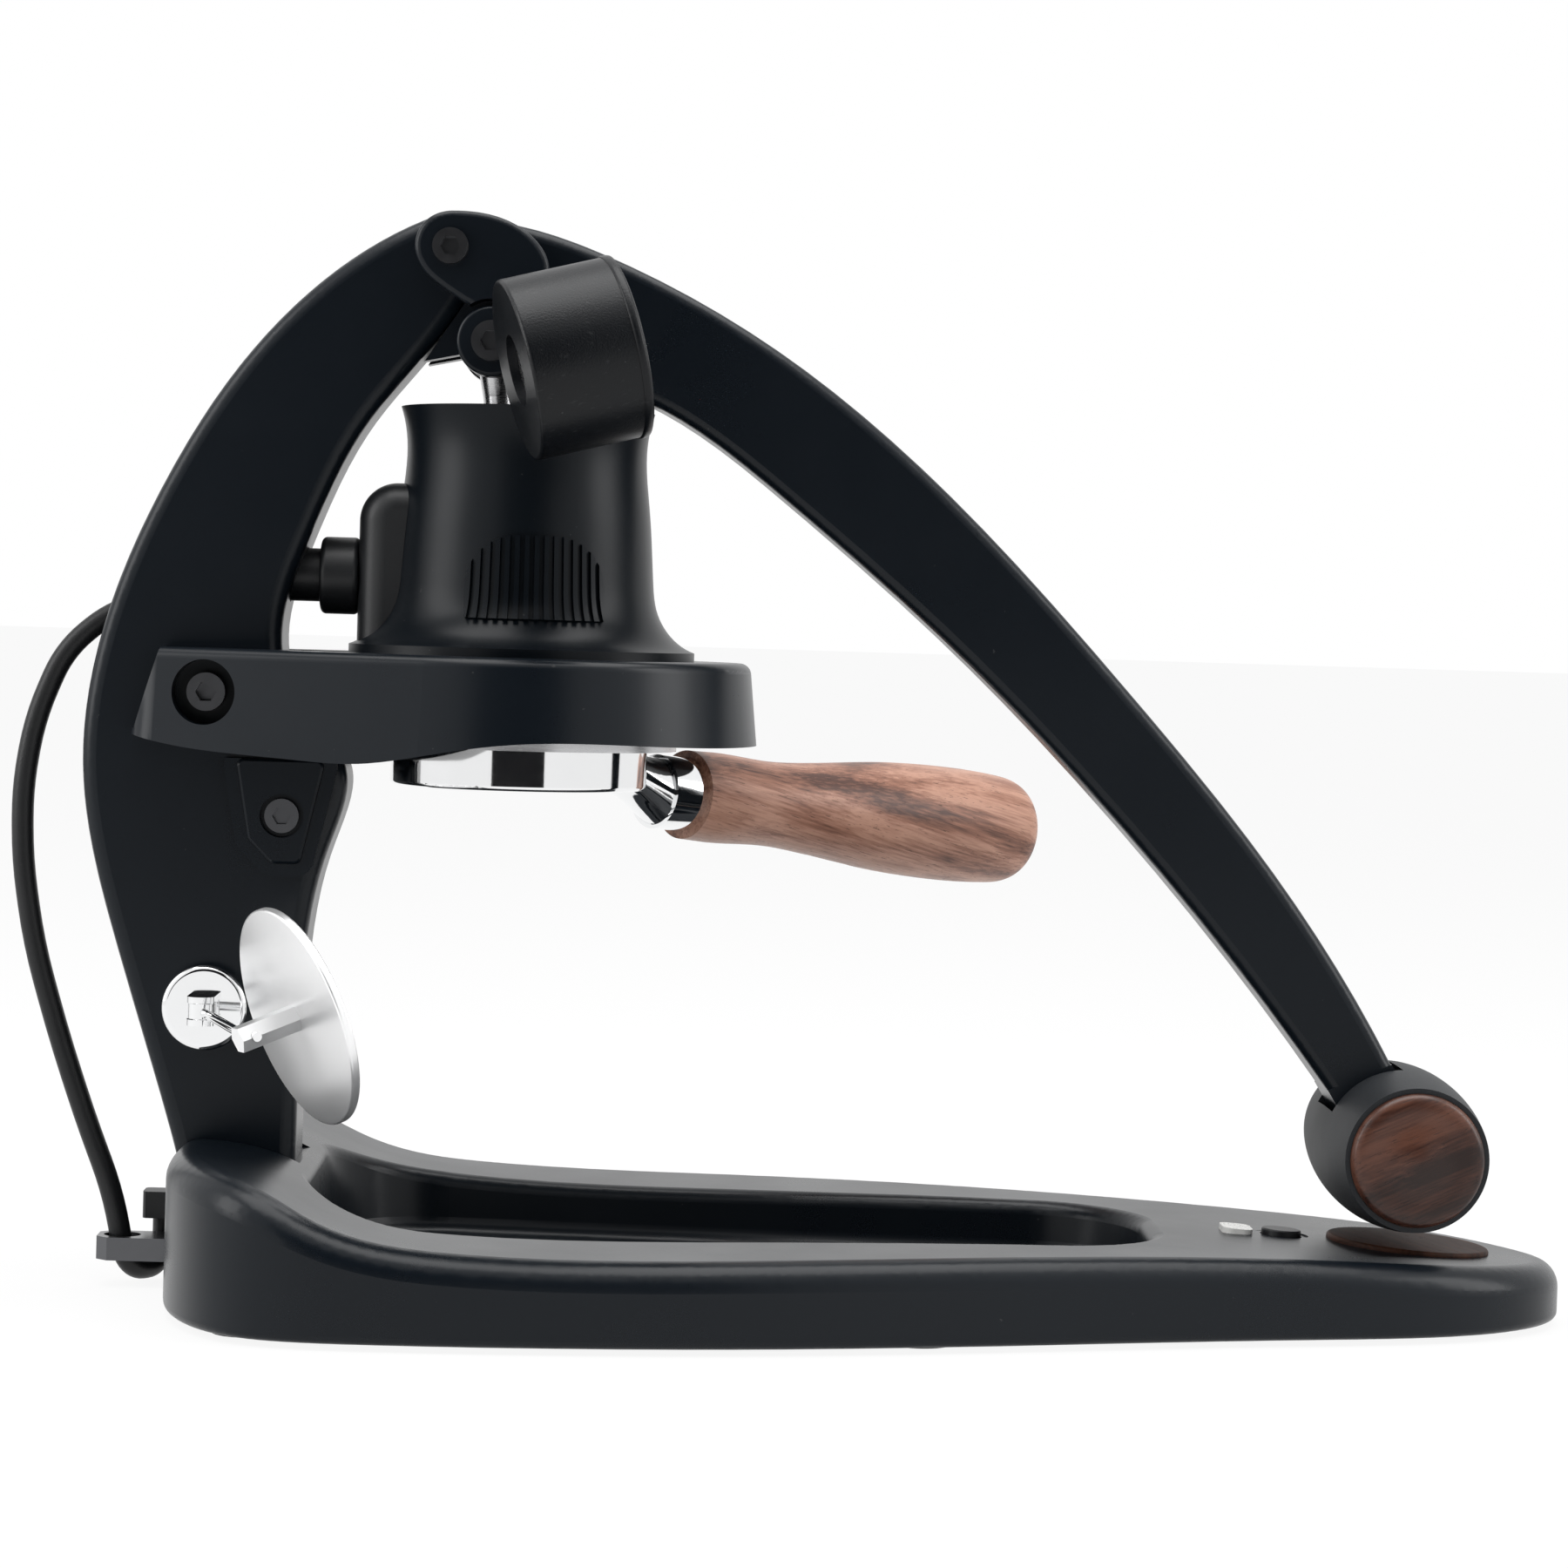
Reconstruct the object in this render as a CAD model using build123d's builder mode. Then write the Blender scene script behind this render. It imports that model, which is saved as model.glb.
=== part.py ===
from build123d import *
import math
import os

os.makedirs("parts", exist_ok=True)

# Frame: the brew axis is the Z axis, the table is Z = 0, +X is the user's side, Y = 0 is the mid-plane

# Shared clearances
fit_gap = 0.05
seat_gap = 0.3
overrun = 60.0

# Base casting
foot_height = 1.5
base_back = 85.1
base_front = 277.5
base_half = 98.0
base_top = 40.0
base_edge_round = 7.0
base_foot_round = 2.0
plan_shares = [(1.0, 0.0), (0.975, 0.2), (0.9, 0.395), (0.732, 0.55), (0.49, 0.738), (0.256, 0.905), (0.105, 0.97),
               (-0.1, 1.0), (-0.225, 0.93), (-0.285, 0.68), (-0.306, 0.0)]
crest_shares = [(-0.45, 1.0), (-0.342, 1.0), (-0.252, 1.0), (-0.202, 0.9125), (-0.159, 0.7625), (-0.108, 0.645),
                (-0.036, 0.585), (0.216, 0.56), (0.54, 0.565), (0.775, 0.515), (1.142, 0.2875)]
tray_floor = 8.0
tray_back = 46.0
tray_front = 166.0
tray_back_half = 57.0
tray_front_half = 36.0
tray_back_round = 26.0
tray_front_round = 28.0
tray_draft = 8.0
tray_floor_round = 5.0
tray_rim_round = 4.0
channel_half = 17.0
channel_front = 47.0

# Electronics bay under the front of the base
bay_back = 176.0
bay_front = 246.0
bay_half = 27.0
bay_top = 12.0
bay_round = 8.0
bay_lip = 4.0
cover_thick = 2.0
cover_screw_radius = 1.5
cover_head_radius = 2.8
cover_head_height = 1.2
cover_screw_length = 7.0
cover_boss_radius = 4.5
board_thick = 1.6
board_length = 46.0
board_width = 40.0
board_lift = 1.1
board_standoff = 2.2
switch_height = 2.4
switch_radius = 2.4
chip_size = 12.0
chip_height = 2.0

# Front panel: indicator window, button and badge lie on a plane that falls to the front
panel_x = 210.0
panel_z = 21.3
panel_fall = 4.0
window_offset = -18.0
window_length = 8.0
window_width = 12.0
window_round = 3.0
window_proud = 0.4
window_depth = 9.0
button_offset = -6.0
button_radius = 5.2
button_rim = 7.2
button_dish = 0.8
button_proud = 0.9
button_flange_radius = 6.4
button_flange = 1.0
badge_offset = 27.5
badge_radius = 21.3
badge_thick = 2.4
badge_sunk = 1.3
badge_round = 0.9

# Rubber feet
foot_radius = 9.0
foot_sink = 1.5
foot_back_x = -60.0
foot_back_y = 72.0
foot_mid_x = 105.0
foot_mid_y = 62.0
foot_front_x = 262.0

# Post
pivot_x = -20.4
post_half = 14.0
post_bow = 90.6
post_foot_z = 35.0
post_nose_radius = 9.7
post_round = 4.0
post_back_shares = [(0.714, 0.0), (0.796, 0.104), (0.906, 0.237), (1.01, 0.425), (0.94, 0.606), (0.795, 0.74),
                    (0.615, 0.856), (0.220, 1.003)]
post_front_shares = [(0.082, 0.879), (0.218, 0.813), (0.386, 0.679), (0.453, 0.565), (0.372, 0.487), (0.264, 0.434),
                     (0.308, 0.34), (0.354, 0.262), (0.376, 0.1), (0.376, 0.0)]
nose_start_angle = 115.0
nose_mid_angle = 40.0
nose_end_angle = -35.0
tenon_back = 75.0
tenon_front = 55.0
tenon_half = 11.0
tenon_length = 13.0
post_bolt_radius = 3.0
post_bolt_length = 30.0
post_bolt_head_radius = 6.5
post_bolt_head = 6.0
post_bolt_pitch = 13.0
post_bolt_floor = 15.0

# Bracket that carries the brew group
bracket_bottom = 139.0
bracket_top = 167.0
bracket_radius = 62.6
bracket_draft = 5.9
bracket_arm_x = 88.5
bracket_arm_y = 20.5
bracket_arm_radius = 10.5
bracket_end_low = 97.5
bracket_end_high = 91.0
bracket_round = 3.0
bracket_foot_shares = [(-1.65, 0.25), (-1.36, 0.107), (-0.93, 0.036), (-0.61, 0.018), (-0.32, 0.125), (0.0, 0.235),
                       (0.5, 0.25), (1.1, 0.25)]
bracket_slot_front = 43.0
spigot_bore = 36.0
ring_seat = 158.0
bracket_screw_x = -79.1
bracket_screw_z = 155.9
bracket_counterbore_radius = 8.3
bracket_counterbore_floor = 22.0
bracket_screw_head_radius = 4.9
bracket_screw_head = 5.0
bracket_screw_radius = 3.0
bracket_screw_bite = 10.0

# Clamp plates below the bracket, one on each side of the post
clamp_x = -60.5
clamp_z = 125.5
clamp_width = 23.0
clamp_height = 26.8
clamp_shares = [(-0.5, 0.5), (0.5, 0.5), (0.24, -0.5), (-0.08, -0.5), (-0.345, -0.27)]
clamp_round = 1.8
clamp_border = 3.4
clamp_rise = 2.2
clamp_sunk = 2.6
clamp_thick = 3.6
clamp_bevel = 0.6
clamp_screw_x = -59.9
clamp_screw_z = 124.4
clamp_screw_recess_radius = 5.6
clamp_screw_recess = 2.0
clamp_screw_head_radius = 4.4
clamp_screw_head = 2.0
clamp_screw_radius = 2.2
clamp_screw_bite = 8.0

# Brew group
ring_bottom = 143.5
ring_radius = 41.0
ring_lip_radius = 34.0
ring_groove_radius = 37.6
ring_groove_bottom = 147.5
ring_groove_top = 153.0
ring_gasket_radius = 34.7
ring_entry_angle = 44.0
ring_entry_turn = -50.0
ring_screw_circle = 39.0
ring_screw_radius = 1.1
ring_screw_head_radius = 1.7
ring_screw_head = 2.0
ring_screw_length = 17.0
ring_screw_angles = (30.0, 130.0, 210.0, 310.0)
gasket_radius = 34.4
gasket_bore = 29.6
gasket_thick = 5.0
cylinder_bore = 25.0
cylinder_radius = 27.3
cylinder_top = 229.5
cylinder_flange_radius = 41.5
cylinder_flange = 2.0
screen_radius = 29.3
screen_thick = 1.2
screen_hole_radius = 0.9
screen_hole_pitch = 5.2
screen_hole_rows = 4
heater_thick = 1.2
heater_bottom = 174.0
heater_height = 40.0
sleeve_top = 231.0
sleeve_flange_radius = 45.0
sleeve_flange = 2.2
sleeve_shares = [(1.0, 0.0), (0.856, 0.07), (0.774, 0.175), (0.75, 0.29), (0.72, 0.58), (0.693, 0.846), (0.733, 1.0)]
sleeve_bore = 29.2
sleeve_rim_bore = 28.0
grip_pad_turn = 83.0
grip_pad_width = 35.5
grip_pad_bottom = 176.8
grip_pad_height = 21.2
grip_pad_round = 13.0
grip_pad_rise = 0.6
grip_pad_rib = 1.0
grip_pad_ribs = 15
grip_pad_rib_step = 4.1
grip_pad_rib_width = 1.3

# Power connection of the brew head
boss_reach = 42.6
boss_half = 13.0
boss_bottom = 169.6
boss_top = 211.0
boss_round = 7.0
plug_z = 186.7
plug_collar_radius = 10.0
plug_collar_length = 10.0
plug_barrel_radius = 6.9
plug_barrel_length = 9.5
plug_collar_round = 1.5
lead_exit_x = -106.0
lead_exit_z = 176.2
lead_back = 0.75
lead_way_radius = 4.8
lead_radius = 2.85

# Outside cable from the post to the base, with its clip and plug
cable_points = [(-118.6, 0.0, 165.4), (-125.8, 0.0, 147.7), (-128.7, 0.0, 129.6),
                (-128.3, 0.0, 110.4), (-124.8, 0.0, 88.6), (-117.6, 0.0, 64.3), (-109.9, 0.0, 42.2),
                (-102.6, 0.0, 23.8), (-98.6, 0.0, 3.6), (-90.4, 10.6, 3.6), (-90.4, 10.6, 16.5)]
arc_share = 0.45
clip_reach = 21.0
clip_bottom = 7.0
clip_thick = 6.0
clip_half = 7.0
clip_chamfer = 3.0
clip_hole_x = -99.9
clip_hole_radius = 4.8
clip_root = 4.5
clip_root_half = 4.0
clip_root_thick = 3.0
base_plug_length = 10.5
base_plug_width = 9.0
base_plug_y = 10.6
base_plug_bottom = 16.5
base_plug_height = 7.0
base_plug_barrel_radius = 3.0
base_plug_barrel = 7.0
base_plug_round = 1.6
inlet_y = -16.0
inlet_z = 20.0
inlet_radius = 5.5
inlet_bore = 3.2
inlet_pin_radius = 1.0
inlet_length = 9.0
inlet_floor = 3.0

# Lever
lever_half = 12.0
lever_reach = 253.4
lever_drop = 225.6
grip_z = 45.7
lever_round = 3.0
lever_top_shares = [(0.034, -0.035), (0.088, -0.025), (0.160, 0.002), (0.337, 0.105), (0.519, 0.267), (0.703, 0.48),
                    (0.842, 0.66), (0.987, 0.902)]
lever_foot_shares = [(0.922, 0.934), (0.824, 0.794), (0.684, 0.617), (0.527, 0.443), (0.345, 0.272), (0.213, 0.172),
                     (0.14, 0.142), (0.08, 0.13)]
crank_length = 26.2
crank_angle = 25.1
ear_half = 21.0
ear_radius = 9.2
ear_gap = 0.3
relief_start_angle = 22.0
relief_end_angle = 130.0
ear_round = 1.5
ear_shares = [(0.0, 1.0), (0.8, 0.97), (1.6, 0.76), (2.4, 0.2), (2.75, -0.5), (2.4, -1.4), (1.0, -1.75), (-0.1, -1.2),
              (-0.75, -0.66), (-1.0, 0.0), (-0.71, 0.71)]
neck_gap = 0.4
neck_low_x = -6.3
neck_low_drop = 28.9
neck_front_x = 25.4
neck_front_drop = 9.3
web_x = 2.5
web_drop = 27.0
yoke_room = 10.8
lug_radius = 8.6
lug_slot_half = 5.3
lug_slot_front = 8.2
hub_radius = 12.0
tang_half = 9.0
core_radius = 6.0
pin_radius = 4.0
bush_radius = 5.5
pivot_screw_head_radius = 4.6
pivot_screw_head = 2.6
pivot_screw_radius = 2.4
pivot_screw_length = 9.0
hex_share = 0.55
hex_depth_share = 0.7

# Grip at the end of the lever
grip_half = 36.0
grip_mid_radius = 21.1
grip_end_radius = 18.5
cap_radius = 17.2
cap_dome = 4.0
cap_seat = 3.0
cap_shoulder_share = 0.72
cap_edge_share = 0.62
slot_width = 21.5

# Plunger
cheek_radius = 9.0
cheek_inner = 12.3
cheek_outer = 20.8
cheek_round = 1.0
cheek_arm_x = 5.5
cheek_arm_drop = 1.5
cheek_arm_radius = 5.0
port_boss_radius = 6.5
yoke_pin_radius = 3.5
yoke_screw_head_radius = 5.2
yoke_screw_head = 2.4
yoke_screw_radius = 2.0
yoke_screw_length = 8.0
stem_eye_radius = 7.2
stem_eye_half = 5.0
stem_foot_z = 170.0
stem_radius = 4.2
stem_flare = 4.6
stem_flare_length = 6.0
stem_foot_radius = 13.5
stem_foot = 3.4

# Pressure gauge: its axis leans up and towards the mid-plane
gauge_x = 12.3
gauge_y = -57.0
gauge_z = 241.6
gauge_rise = 14.7
gauge_turn = 11.0
boot_radius = 22.7
boot_length = 29.0
boot_wall = 2.4
boot_hole_radius = 9.0
boot_lip = 1.4
boot_lip_radius = 19.0
boot_round = 1.0
case_radius = 20.0
case_wall = 1.3
movement_radius = 9.0
movement_height = 15.7
spindle_radius = 1.0
spindle_rise = 2.6
dial_radius = 18.5
dial_thick = 0.6
needle_length = 14.0
needle_tail = 5.0
needle_width = 1.8
needle_thick = 0.6
needle_hub_radius = 2.2
needle_rest = 225.0
needle_lift = 0.3
lens_thick = 1.5
lens_lift = 3.6
bezel_bore = 17.0
bezel_height = 1.8
nipple_radius = 4.0
nipple_bite = 5.0

# Piston inside the brew cylinder
piston_bottom = 160.0
piston_floor = 4.0
piston_height = 15.5
piston_gap = 0.3
piston_room = 21.0
piston_cap_thick = 3.0
piston_cap_bore = 12.6
seal_section = 0.95
seal_rises = (4.5, 11.0)

# Portafilter
filter_turn = 40.0
filter_droop = 5.0
filter_radius = 33.4
filter_bore = 30.3
filter_bottom = 133.0
filter_top = 152.2
filter_round = 1.2
lug_out_radius = 37.2
lug_height = 3.6
lug_bottom = 148.2
lug_angle = 36.0
basket_radius = 29.8
basket_wall = 0.5
basket_rim_radius = 33.0
basket_rim = 0.7
basket_bottom = 134.5
basket_hole_radius = 0.9
basket_hole_pitch = 5.2
basket_hole_rows = 4
spring_circle = 30.4
spring_section = 0.5
spring_arc = 340.0
spring_z = 146.0
neck_start = 31.8
neck_width = 18.0
neck_height = 9.4
neck_round = 4.0
neck_z = 138.0
neck_end = 46.5
axis_start_z = 133.0
axis_start = 33.0
ferrule_radius = 10.0
ferrule_neck_radius = 9.0
ferrule_end = 57.0
handle_length = 124.0
handle_shares = [(0.0, 0.745), (0.07, 0.76), (0.23, 0.72), (0.335, 0.765), (0.44, 0.845), (0.54, 0.925), (0.67, 0.985),
                 (0.8, 1.0), (0.92, 0.965)]
handle_end_share = 0.55
handle_end_radius = 16.1
handle_bolt_radius = 3.0
handle_bolt_reach = 60.0
handle_bolt_bite = 10.0

# Mirror on a magnet at the near side of the post
mirror_x = -78.2
mirror_z = 74.6
magnet_radius = 11.0
magnet_thick = 6.0
magnet_round = 1.5
fork_leaf = 1.6
fork_gap = 4.2
fork_width = 7.0
fork_root = 1.5
fork_pin_reach = 8.0
fork_pin_radius = 1.5
link_eye_radius = 3.2
link_gap = 0.2
link_radius = 1.2
link_tail = 4.2
link_elbow = 6.5
joint_x = -62.4
joint_y = -60.0
joint_z = 71.8
stud_length = 12.5
stud_end = 3.6
stud_radius = 3.6
mirror_radius = 28.5
mirror_thick = 2.4
mirror_round = 0.6
glass_radius = 27.7
glass_thick = 1.0
mirror_normal_x = 0.826
mirror_normal_y = 0.46
mirror_normal_z = 0.326

# Places worked out from the sizes above
neck_radius = post_nose_radius + neck_gap
pivot_z = grip_z + lever_drop
post_rise = pivot_z - post_foot_z
yoke_x = pivot_x + crank_length * math.sin(math.radians(crank_angle))
yoke_z = pivot_z - crank_length * math.cos(math.radians(crank_angle))
grip_x = pivot_x + lever_reach
stem_axis = Vector(-yoke_x, 0, stem_foot_z - yoke_z).normalized()
stem_length = Vector(-yoke_x, 0, stem_foot_z - yoke_z).length
panel = Plane(origin=(panel_x, 0, panel_z),
              x_dir=(math.cos(math.radians(panel_fall)), 0, -math.sin(math.radians(panel_fall))),
              z_dir=(math.sin(math.radians(panel_fall)), 0, math.cos(math.radians(panel_fall))))
gauge_axis = Vector(math.cos(math.radians(gauge_rise)) * math.cos(math.radians(gauge_turn)),
                    math.cos(math.radians(gauge_rise)) * math.sin(math.radians(gauge_turn)),
                    math.sin(math.radians(gauge_rise)))
gauge_up = (Vector(0, 0, 1) - gauge_axis * gauge_axis.Z).normalized()
gauge = Plane(origin=(gauge_x, gauge_y, gauge_z), x_dir=gauge_up.cross(gauge_axis), z_dir=gauge_axis)
port_axis = (Vector(0, 1, 0) - gauge_axis * gauge_axis.Y).normalized()
port_run = (-cheek_outer - gauge_y) / port_axis.Y
port_end = Vector(gauge_x, gauge_y, gauge_z) + port_axis * port_run
handle_axis = Vector(math.cos(math.radians(filter_turn)) * math.cos(math.radians(filter_droop)),
                     math.sin(math.radians(filter_turn)) * math.cos(math.radians(filter_droop)),
                     -math.sin(math.radians(filter_droop)))
handle_side = Vector(math.sin(math.radians(filter_turn)), -math.cos(math.radians(filter_turn)), 0)
handle_out = Vector(math.cos(math.radians(filter_turn)), math.sin(math.radians(filter_turn)), 0)
handle_origin = handle_out * axis_start + Vector(0, 0, axis_start_z)
handle_plane = Plane(origin=handle_origin, x_dir=handle_axis, z_dir=handle_side)
mirror_normal = Vector(mirror_normal_x, mirror_normal_y, mirror_normal_z).normalized()
mirror_joint = Vector(joint_x, joint_y, joint_z)
mirror_nod_axis = Vector(0, 0, 1).cross(mirror_normal).normalized()
fork_pin_y = -post_half - magnet_thick - fork_pin_reach


def finish(piece, name):
    """Label a finished piece and write it out."""
    piece.part.label = name
    export_step(piece.part, f"parts/{name}.step")


def post_point(share):
    """A point of the post's side outline, from shares of its bow and rise."""
    return (pivot_x - share[0] * post_bow, post_foot_z + share[1] * post_rise)


def lever_point(share):
    """A point of the lever's side outline, from shares of its reach and drop."""
    return (pivot_x + share[0] * lever_reach, pivot_z - share[1] * lever_drop)


def around(x, z, radius, angle):
    """A point on a circle in the side view."""
    return (x + radius * math.cos(math.radians(angle)), z + radius * math.sin(math.radians(angle)))


def side_plane(x, y, z, direction):
    """A plane square to Y at a place, facing along the given Y direction."""
    return Plane(origin=(x, y, z), x_dir=(1, 0, 0), z_dir=(0, direction, 0))


def clamp_outline(margin, direction):
    """The outline of a clamp plate with a margin round it, on the flank that faces along the given Y direction."""
    with BuildSketch() as outline:
        with BuildLine():
            Polyline(*[(x * clamp_width, -direction * z * clamp_height) for x, z in clamp_shares], close=True)
        make_face()
        fillet(outline.vertices(), radius=clamp_round)
        offset(amount=margin)
    return outline.sketch


def hex_screws(seats, head_radius, head_height, shank_radius, shank_length):
    """Hex-socket screws, one on each seat plane, with the head along the plane's normal."""
    with BuildPart() as screws:
        for seat in seats:
            with BuildSketch(seat):
                Circle(head_radius)
            extrude(amount=head_height)
            with BuildSketch(seat):
                Circle(shank_radius)
            extrude(amount=-shank_length)
            with BuildSketch(seat.offset(head_height)):
                RegularPolygon(head_radius * hex_share, 6)
            extrude(amount=-head_height * hex_depth_share, mode=Mode.SUBTRACT)
    return screws


# Base: a cast body with a sunk tray, a raised back that holds the post and a bay for the electronics
bottom_plane = Plane.XY.offset(foot_height)
feet_places = [(foot_back_x, foot_back_y), (foot_back_x, -foot_back_y), (foot_mid_x, foot_mid_y),
               (foot_mid_x, -foot_mid_y), (foot_front_x, 0), (0, 0)]
cover_places = [(x, y) for x in (bay_back + cover_boss_radius, bay_front - cover_boss_radius)
                for y in (-bay_half + cover_boss_radius, bay_half - cover_boss_radius)]
tenon_mid = -(tenon_back + tenon_front) / 2
post_bolt_places = [(tenon_mid - post_bolt_pitch / 2, 0), (tenon_mid + post_bolt_pitch / 2, 0)]
with BuildPart() as base:
    with BuildSketch(bottom_plane):
        with BuildLine():
            Spline(*[(x * base_front, -y * base_half) for x, y in plan_shares],
                   *[(x * base_front, y * base_half) for x, y in plan_shares[-2:0:-1]], periodic=True)
        make_face()
    extrude(amount=base_top)
    with BuildSketch(Plane.XZ):
        with BuildLine():
            crest = Spline(*[(x * base_front, z * base_top) for x, z in crest_shares])
            Polyline(crest @ 1, ((crest @ 1).X, foot_height), ((crest @ 0).X, foot_height), crest @ 0)
        make_face()
    extrude(amount=base_half + overrun, both=True, mode=Mode.INTERSECT)
    fillet(base.faces().sort_by(Axis.Z)[-1].edges(), radius=base_edge_round)
    fillet(base.faces().sort_by(Axis.Z)[0].edges(), radius=base_foot_round)
    with BuildSketch(Plane.XY.offset(tray_floor)) as tray:
        with BuildLine():
            Polyline((-tray_back, -tray_back_half), (tray_front, -tray_front_half), (tray_front, tray_front_half),
                     (-tray_back, tray_back_half), close=True)
        make_face()
        fillet(tray.vertices().group_by(Axis.X)[0], radius=tray_back_round)
        fillet(tray.vertices().group_by(Axis.X)[-1], radius=tray_front_round)
    extrude(amount=base_top, taper=-tray_draft, mode=Mode.SUBTRACT)
    fillet(base.faces().filter_by_position(Axis.Z, tray_floor - fit_gap, tray_floor + fit_gap).edges(),
           radius=tray_floor_round)
    fillet([edge for edge in base.edges()
            if edge.bounding_box().min.X > -tray_back - base_edge_round
            and edge.bounding_box().max.X < tray_front + base_edge_round
            and edge.bounding_box().max.Y < tray_back_half + base_edge_round
            and edge.bounding_box().min.Y > -tray_back_half - base_edge_round
            and edge.bounding_box().min.Z > tray_floor + tray_floor_round], radius=tray_rim_round)
    with BuildSketch(Plane.XY.offset(post_foot_z)):
        with Locations((-channel_front - overrun / 2, 0)):
            Rectangle(overrun, 2 * channel_half)
    extrude(amount=base_top, mode=Mode.SUBTRACT)
    with BuildSketch(Plane.XY.offset(post_foot_z)):
        with Locations((tenon_mid, 0)):
            Rectangle(tenon_back - tenon_front + 2 * fit_gap, 2 * tenon_half + 2 * fit_gap)
    extrude(amount=-tenon_length - fit_gap, mode=Mode.SUBTRACT)
    with BuildSketch(bottom_plane):
        with Locations(*post_bolt_places):
            Circle(post_bolt_head_radius + seat_gap)
    extrude(amount=post_bolt_floor - foot_height, mode=Mode.SUBTRACT)
    with BuildSketch(bottom_plane):
        with Locations(*post_bolt_places):
            Circle(post_bolt_radius + fit_gap)
    extrude(amount=base_top, mode=Mode.SUBTRACT)
    with BuildSketch(bottom_plane):
        with Locations(((bay_back + bay_front) / 2, 0)):
            RectangleRounded(bay_front - bay_back, 2 * bay_half, bay_round)
    extrude(amount=bay_top - foot_height, mode=Mode.SUBTRACT)
    with BuildSketch(bottom_plane):
        with Locations(((bay_back + bay_front) / 2, 0)):
            RectangleRounded(bay_front - bay_back + 2 * bay_lip, 2 * bay_half + 2 * bay_lip, bay_round + bay_lip)
    extrude(amount=cover_thick, mode=Mode.SUBTRACT)
    with BuildSketch(bottom_plane.offset(cover_thick)):
        with Locations(*cover_places):
            Circle(cover_boss_radius)
    extrude(amount=bay_top - foot_height - cover_thick)
    with BuildSketch(bottom_plane.offset(cover_thick)):
        with Locations(*cover_places):
            Circle(cover_screw_radius + fit_gap)
    extrude(amount=cover_screw_length, mode=Mode.SUBTRACT)
    with BuildSketch(bottom_plane):
        with Locations(*feet_places):
            Circle(foot_radius + fit_gap)
    extrude(amount=foot_sink, mode=Mode.SUBTRACT)
    with BuildSketch(panel):
        with Locations((button_offset, 0)):
            Circle(button_radius + seat_gap)
        with Locations((window_offset, 0)):
            RectangleRounded(window_length + 2 * fit_gap, window_width + 2 * fit_gap, window_round)
    extrude(amount=overrun, both=True, mode=Mode.SUBTRACT)
    with BuildSketch(panel.offset(-button_dish)):
        with Locations((button_offset, 0)):
            Circle(button_rim)
    extrude(amount=base_top, mode=Mode.SUBTRACT)
    with BuildSketch(panel.offset(-badge_sunk)):
        with Locations((badge_offset, 0)):
            Circle(badge_radius + fit_gap)
    extrude(amount=base_top, mode=Mode.SUBTRACT)
    with BuildSketch(Plane.YZ.offset(-base_back - overrun)):
        with Locations((inlet_y, inlet_z)):
            Circle(inlet_radius + fit_gap)
    extrude(amount=overrun + inlet_length, mode=Mode.SUBTRACT)
    with BuildSketch(Plane.YZ.offset(-base_back - overrun)):
        with Locations((base_plug_y, base_plug_bottom + base_plug_height / 2)):
            Circle(base_plug_barrel_radius + fit_gap)
    extrude(amount=overrun + base_plug_barrel, mode=Mode.SUBTRACT)
    with BuildSketch(Plane.XY.offset(clip_bottom + (clip_thick - clip_root_thick) / 2 - fit_gap)):
        with Locations((-base_back, 0)):
            Rectangle(2 * clip_root + 2 * fit_gap, 2 * clip_root_half + 2 * fit_gap)
    extrude(amount=clip_root_thick + 2 * fit_gap, mode=Mode.SUBTRACT)
finish(base, "base")

# Rubber feet, sunk into the underside
with BuildPart() as base_feet:
    with BuildSketch(Plane.XY):
        with Locations(*feet_places):
            Circle(foot_radius)
    extrude(amount=foot_height + foot_sink)
finish(base_feet, "base_feet")

# Cover of the electronics bay, with standoffs for the board
bay_mid = (bay_back + bay_front) / 2
board_z = foot_height + cover_thick + board_lift
standoff_x = board_length / 2 - 2 * board_standoff
standoff_y = board_width / 2 - 2 * board_standoff
with BuildPart() as bottom_cover:
    with BuildSketch(bottom_plane):
        with Locations((bay_mid, 0)):
            RectangleRounded(bay_front - bay_back + 2 * bay_lip - 2 * fit_gap, 2 * bay_half + 2 * bay_lip - 2 * fit_gap,
                             bay_round + bay_lip)
    extrude(amount=cover_thick)
    with BuildSketch(bottom_plane.offset(cover_thick)):
        with Locations(*[(bay_mid + i * standoff_x, j * standoff_y) for i in (-1, 1) for j in (-1, 1)]):
            Circle(board_standoff)
    extrude(amount=board_lift)
    with BuildSketch(bottom_plane):
        with Locations(*cover_places):
            Circle(cover_screw_radius + fit_gap)
    extrude(amount=cover_thick, mode=Mode.SUBTRACT)
    with BuildSketch(bottom_plane):
        with Locations(*cover_places):
            Circle(cover_head_radius + fit_gap)
    extrude(amount=cover_head_height, mode=Mode.SUBTRACT)
finish(bottom_cover, "bottom_cover")

cover_seats = [Plane(origin=(x, y, foot_height + cover_head_height), z_dir=(0, 0, -1)) for x, y in cover_places]
cover_screws = hex_screws(cover_seats, cover_head_radius, cover_head_height, cover_screw_radius, cover_screw_length)
finish(cover_screws, "cover_screws")

# Control board with the switch under the button and a processor
button_foot = panel.from_local_coords((button_offset, 0, 0))
with BuildPart() as control_board:
    with BuildSketch(Plane.XY.offset(board_z)):
        with Locations((bay_mid, 0)):
            Rectangle(board_length, board_width)
    extrude(amount=board_thick)
    with BuildSketch(Plane.XY.offset(board_z + board_thick)):
        with Locations((button_foot.X, 0)):
            Circle(switch_radius)
    extrude(amount=switch_height)
    with BuildSketch(Plane.XY.offset(board_z + board_thick)):
        with Locations((bay_mid + chip_size, 0)):
            Rectangle(chip_size, chip_size)
    extrude(amount=chip_height)
finish(control_board, "control_board")

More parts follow.
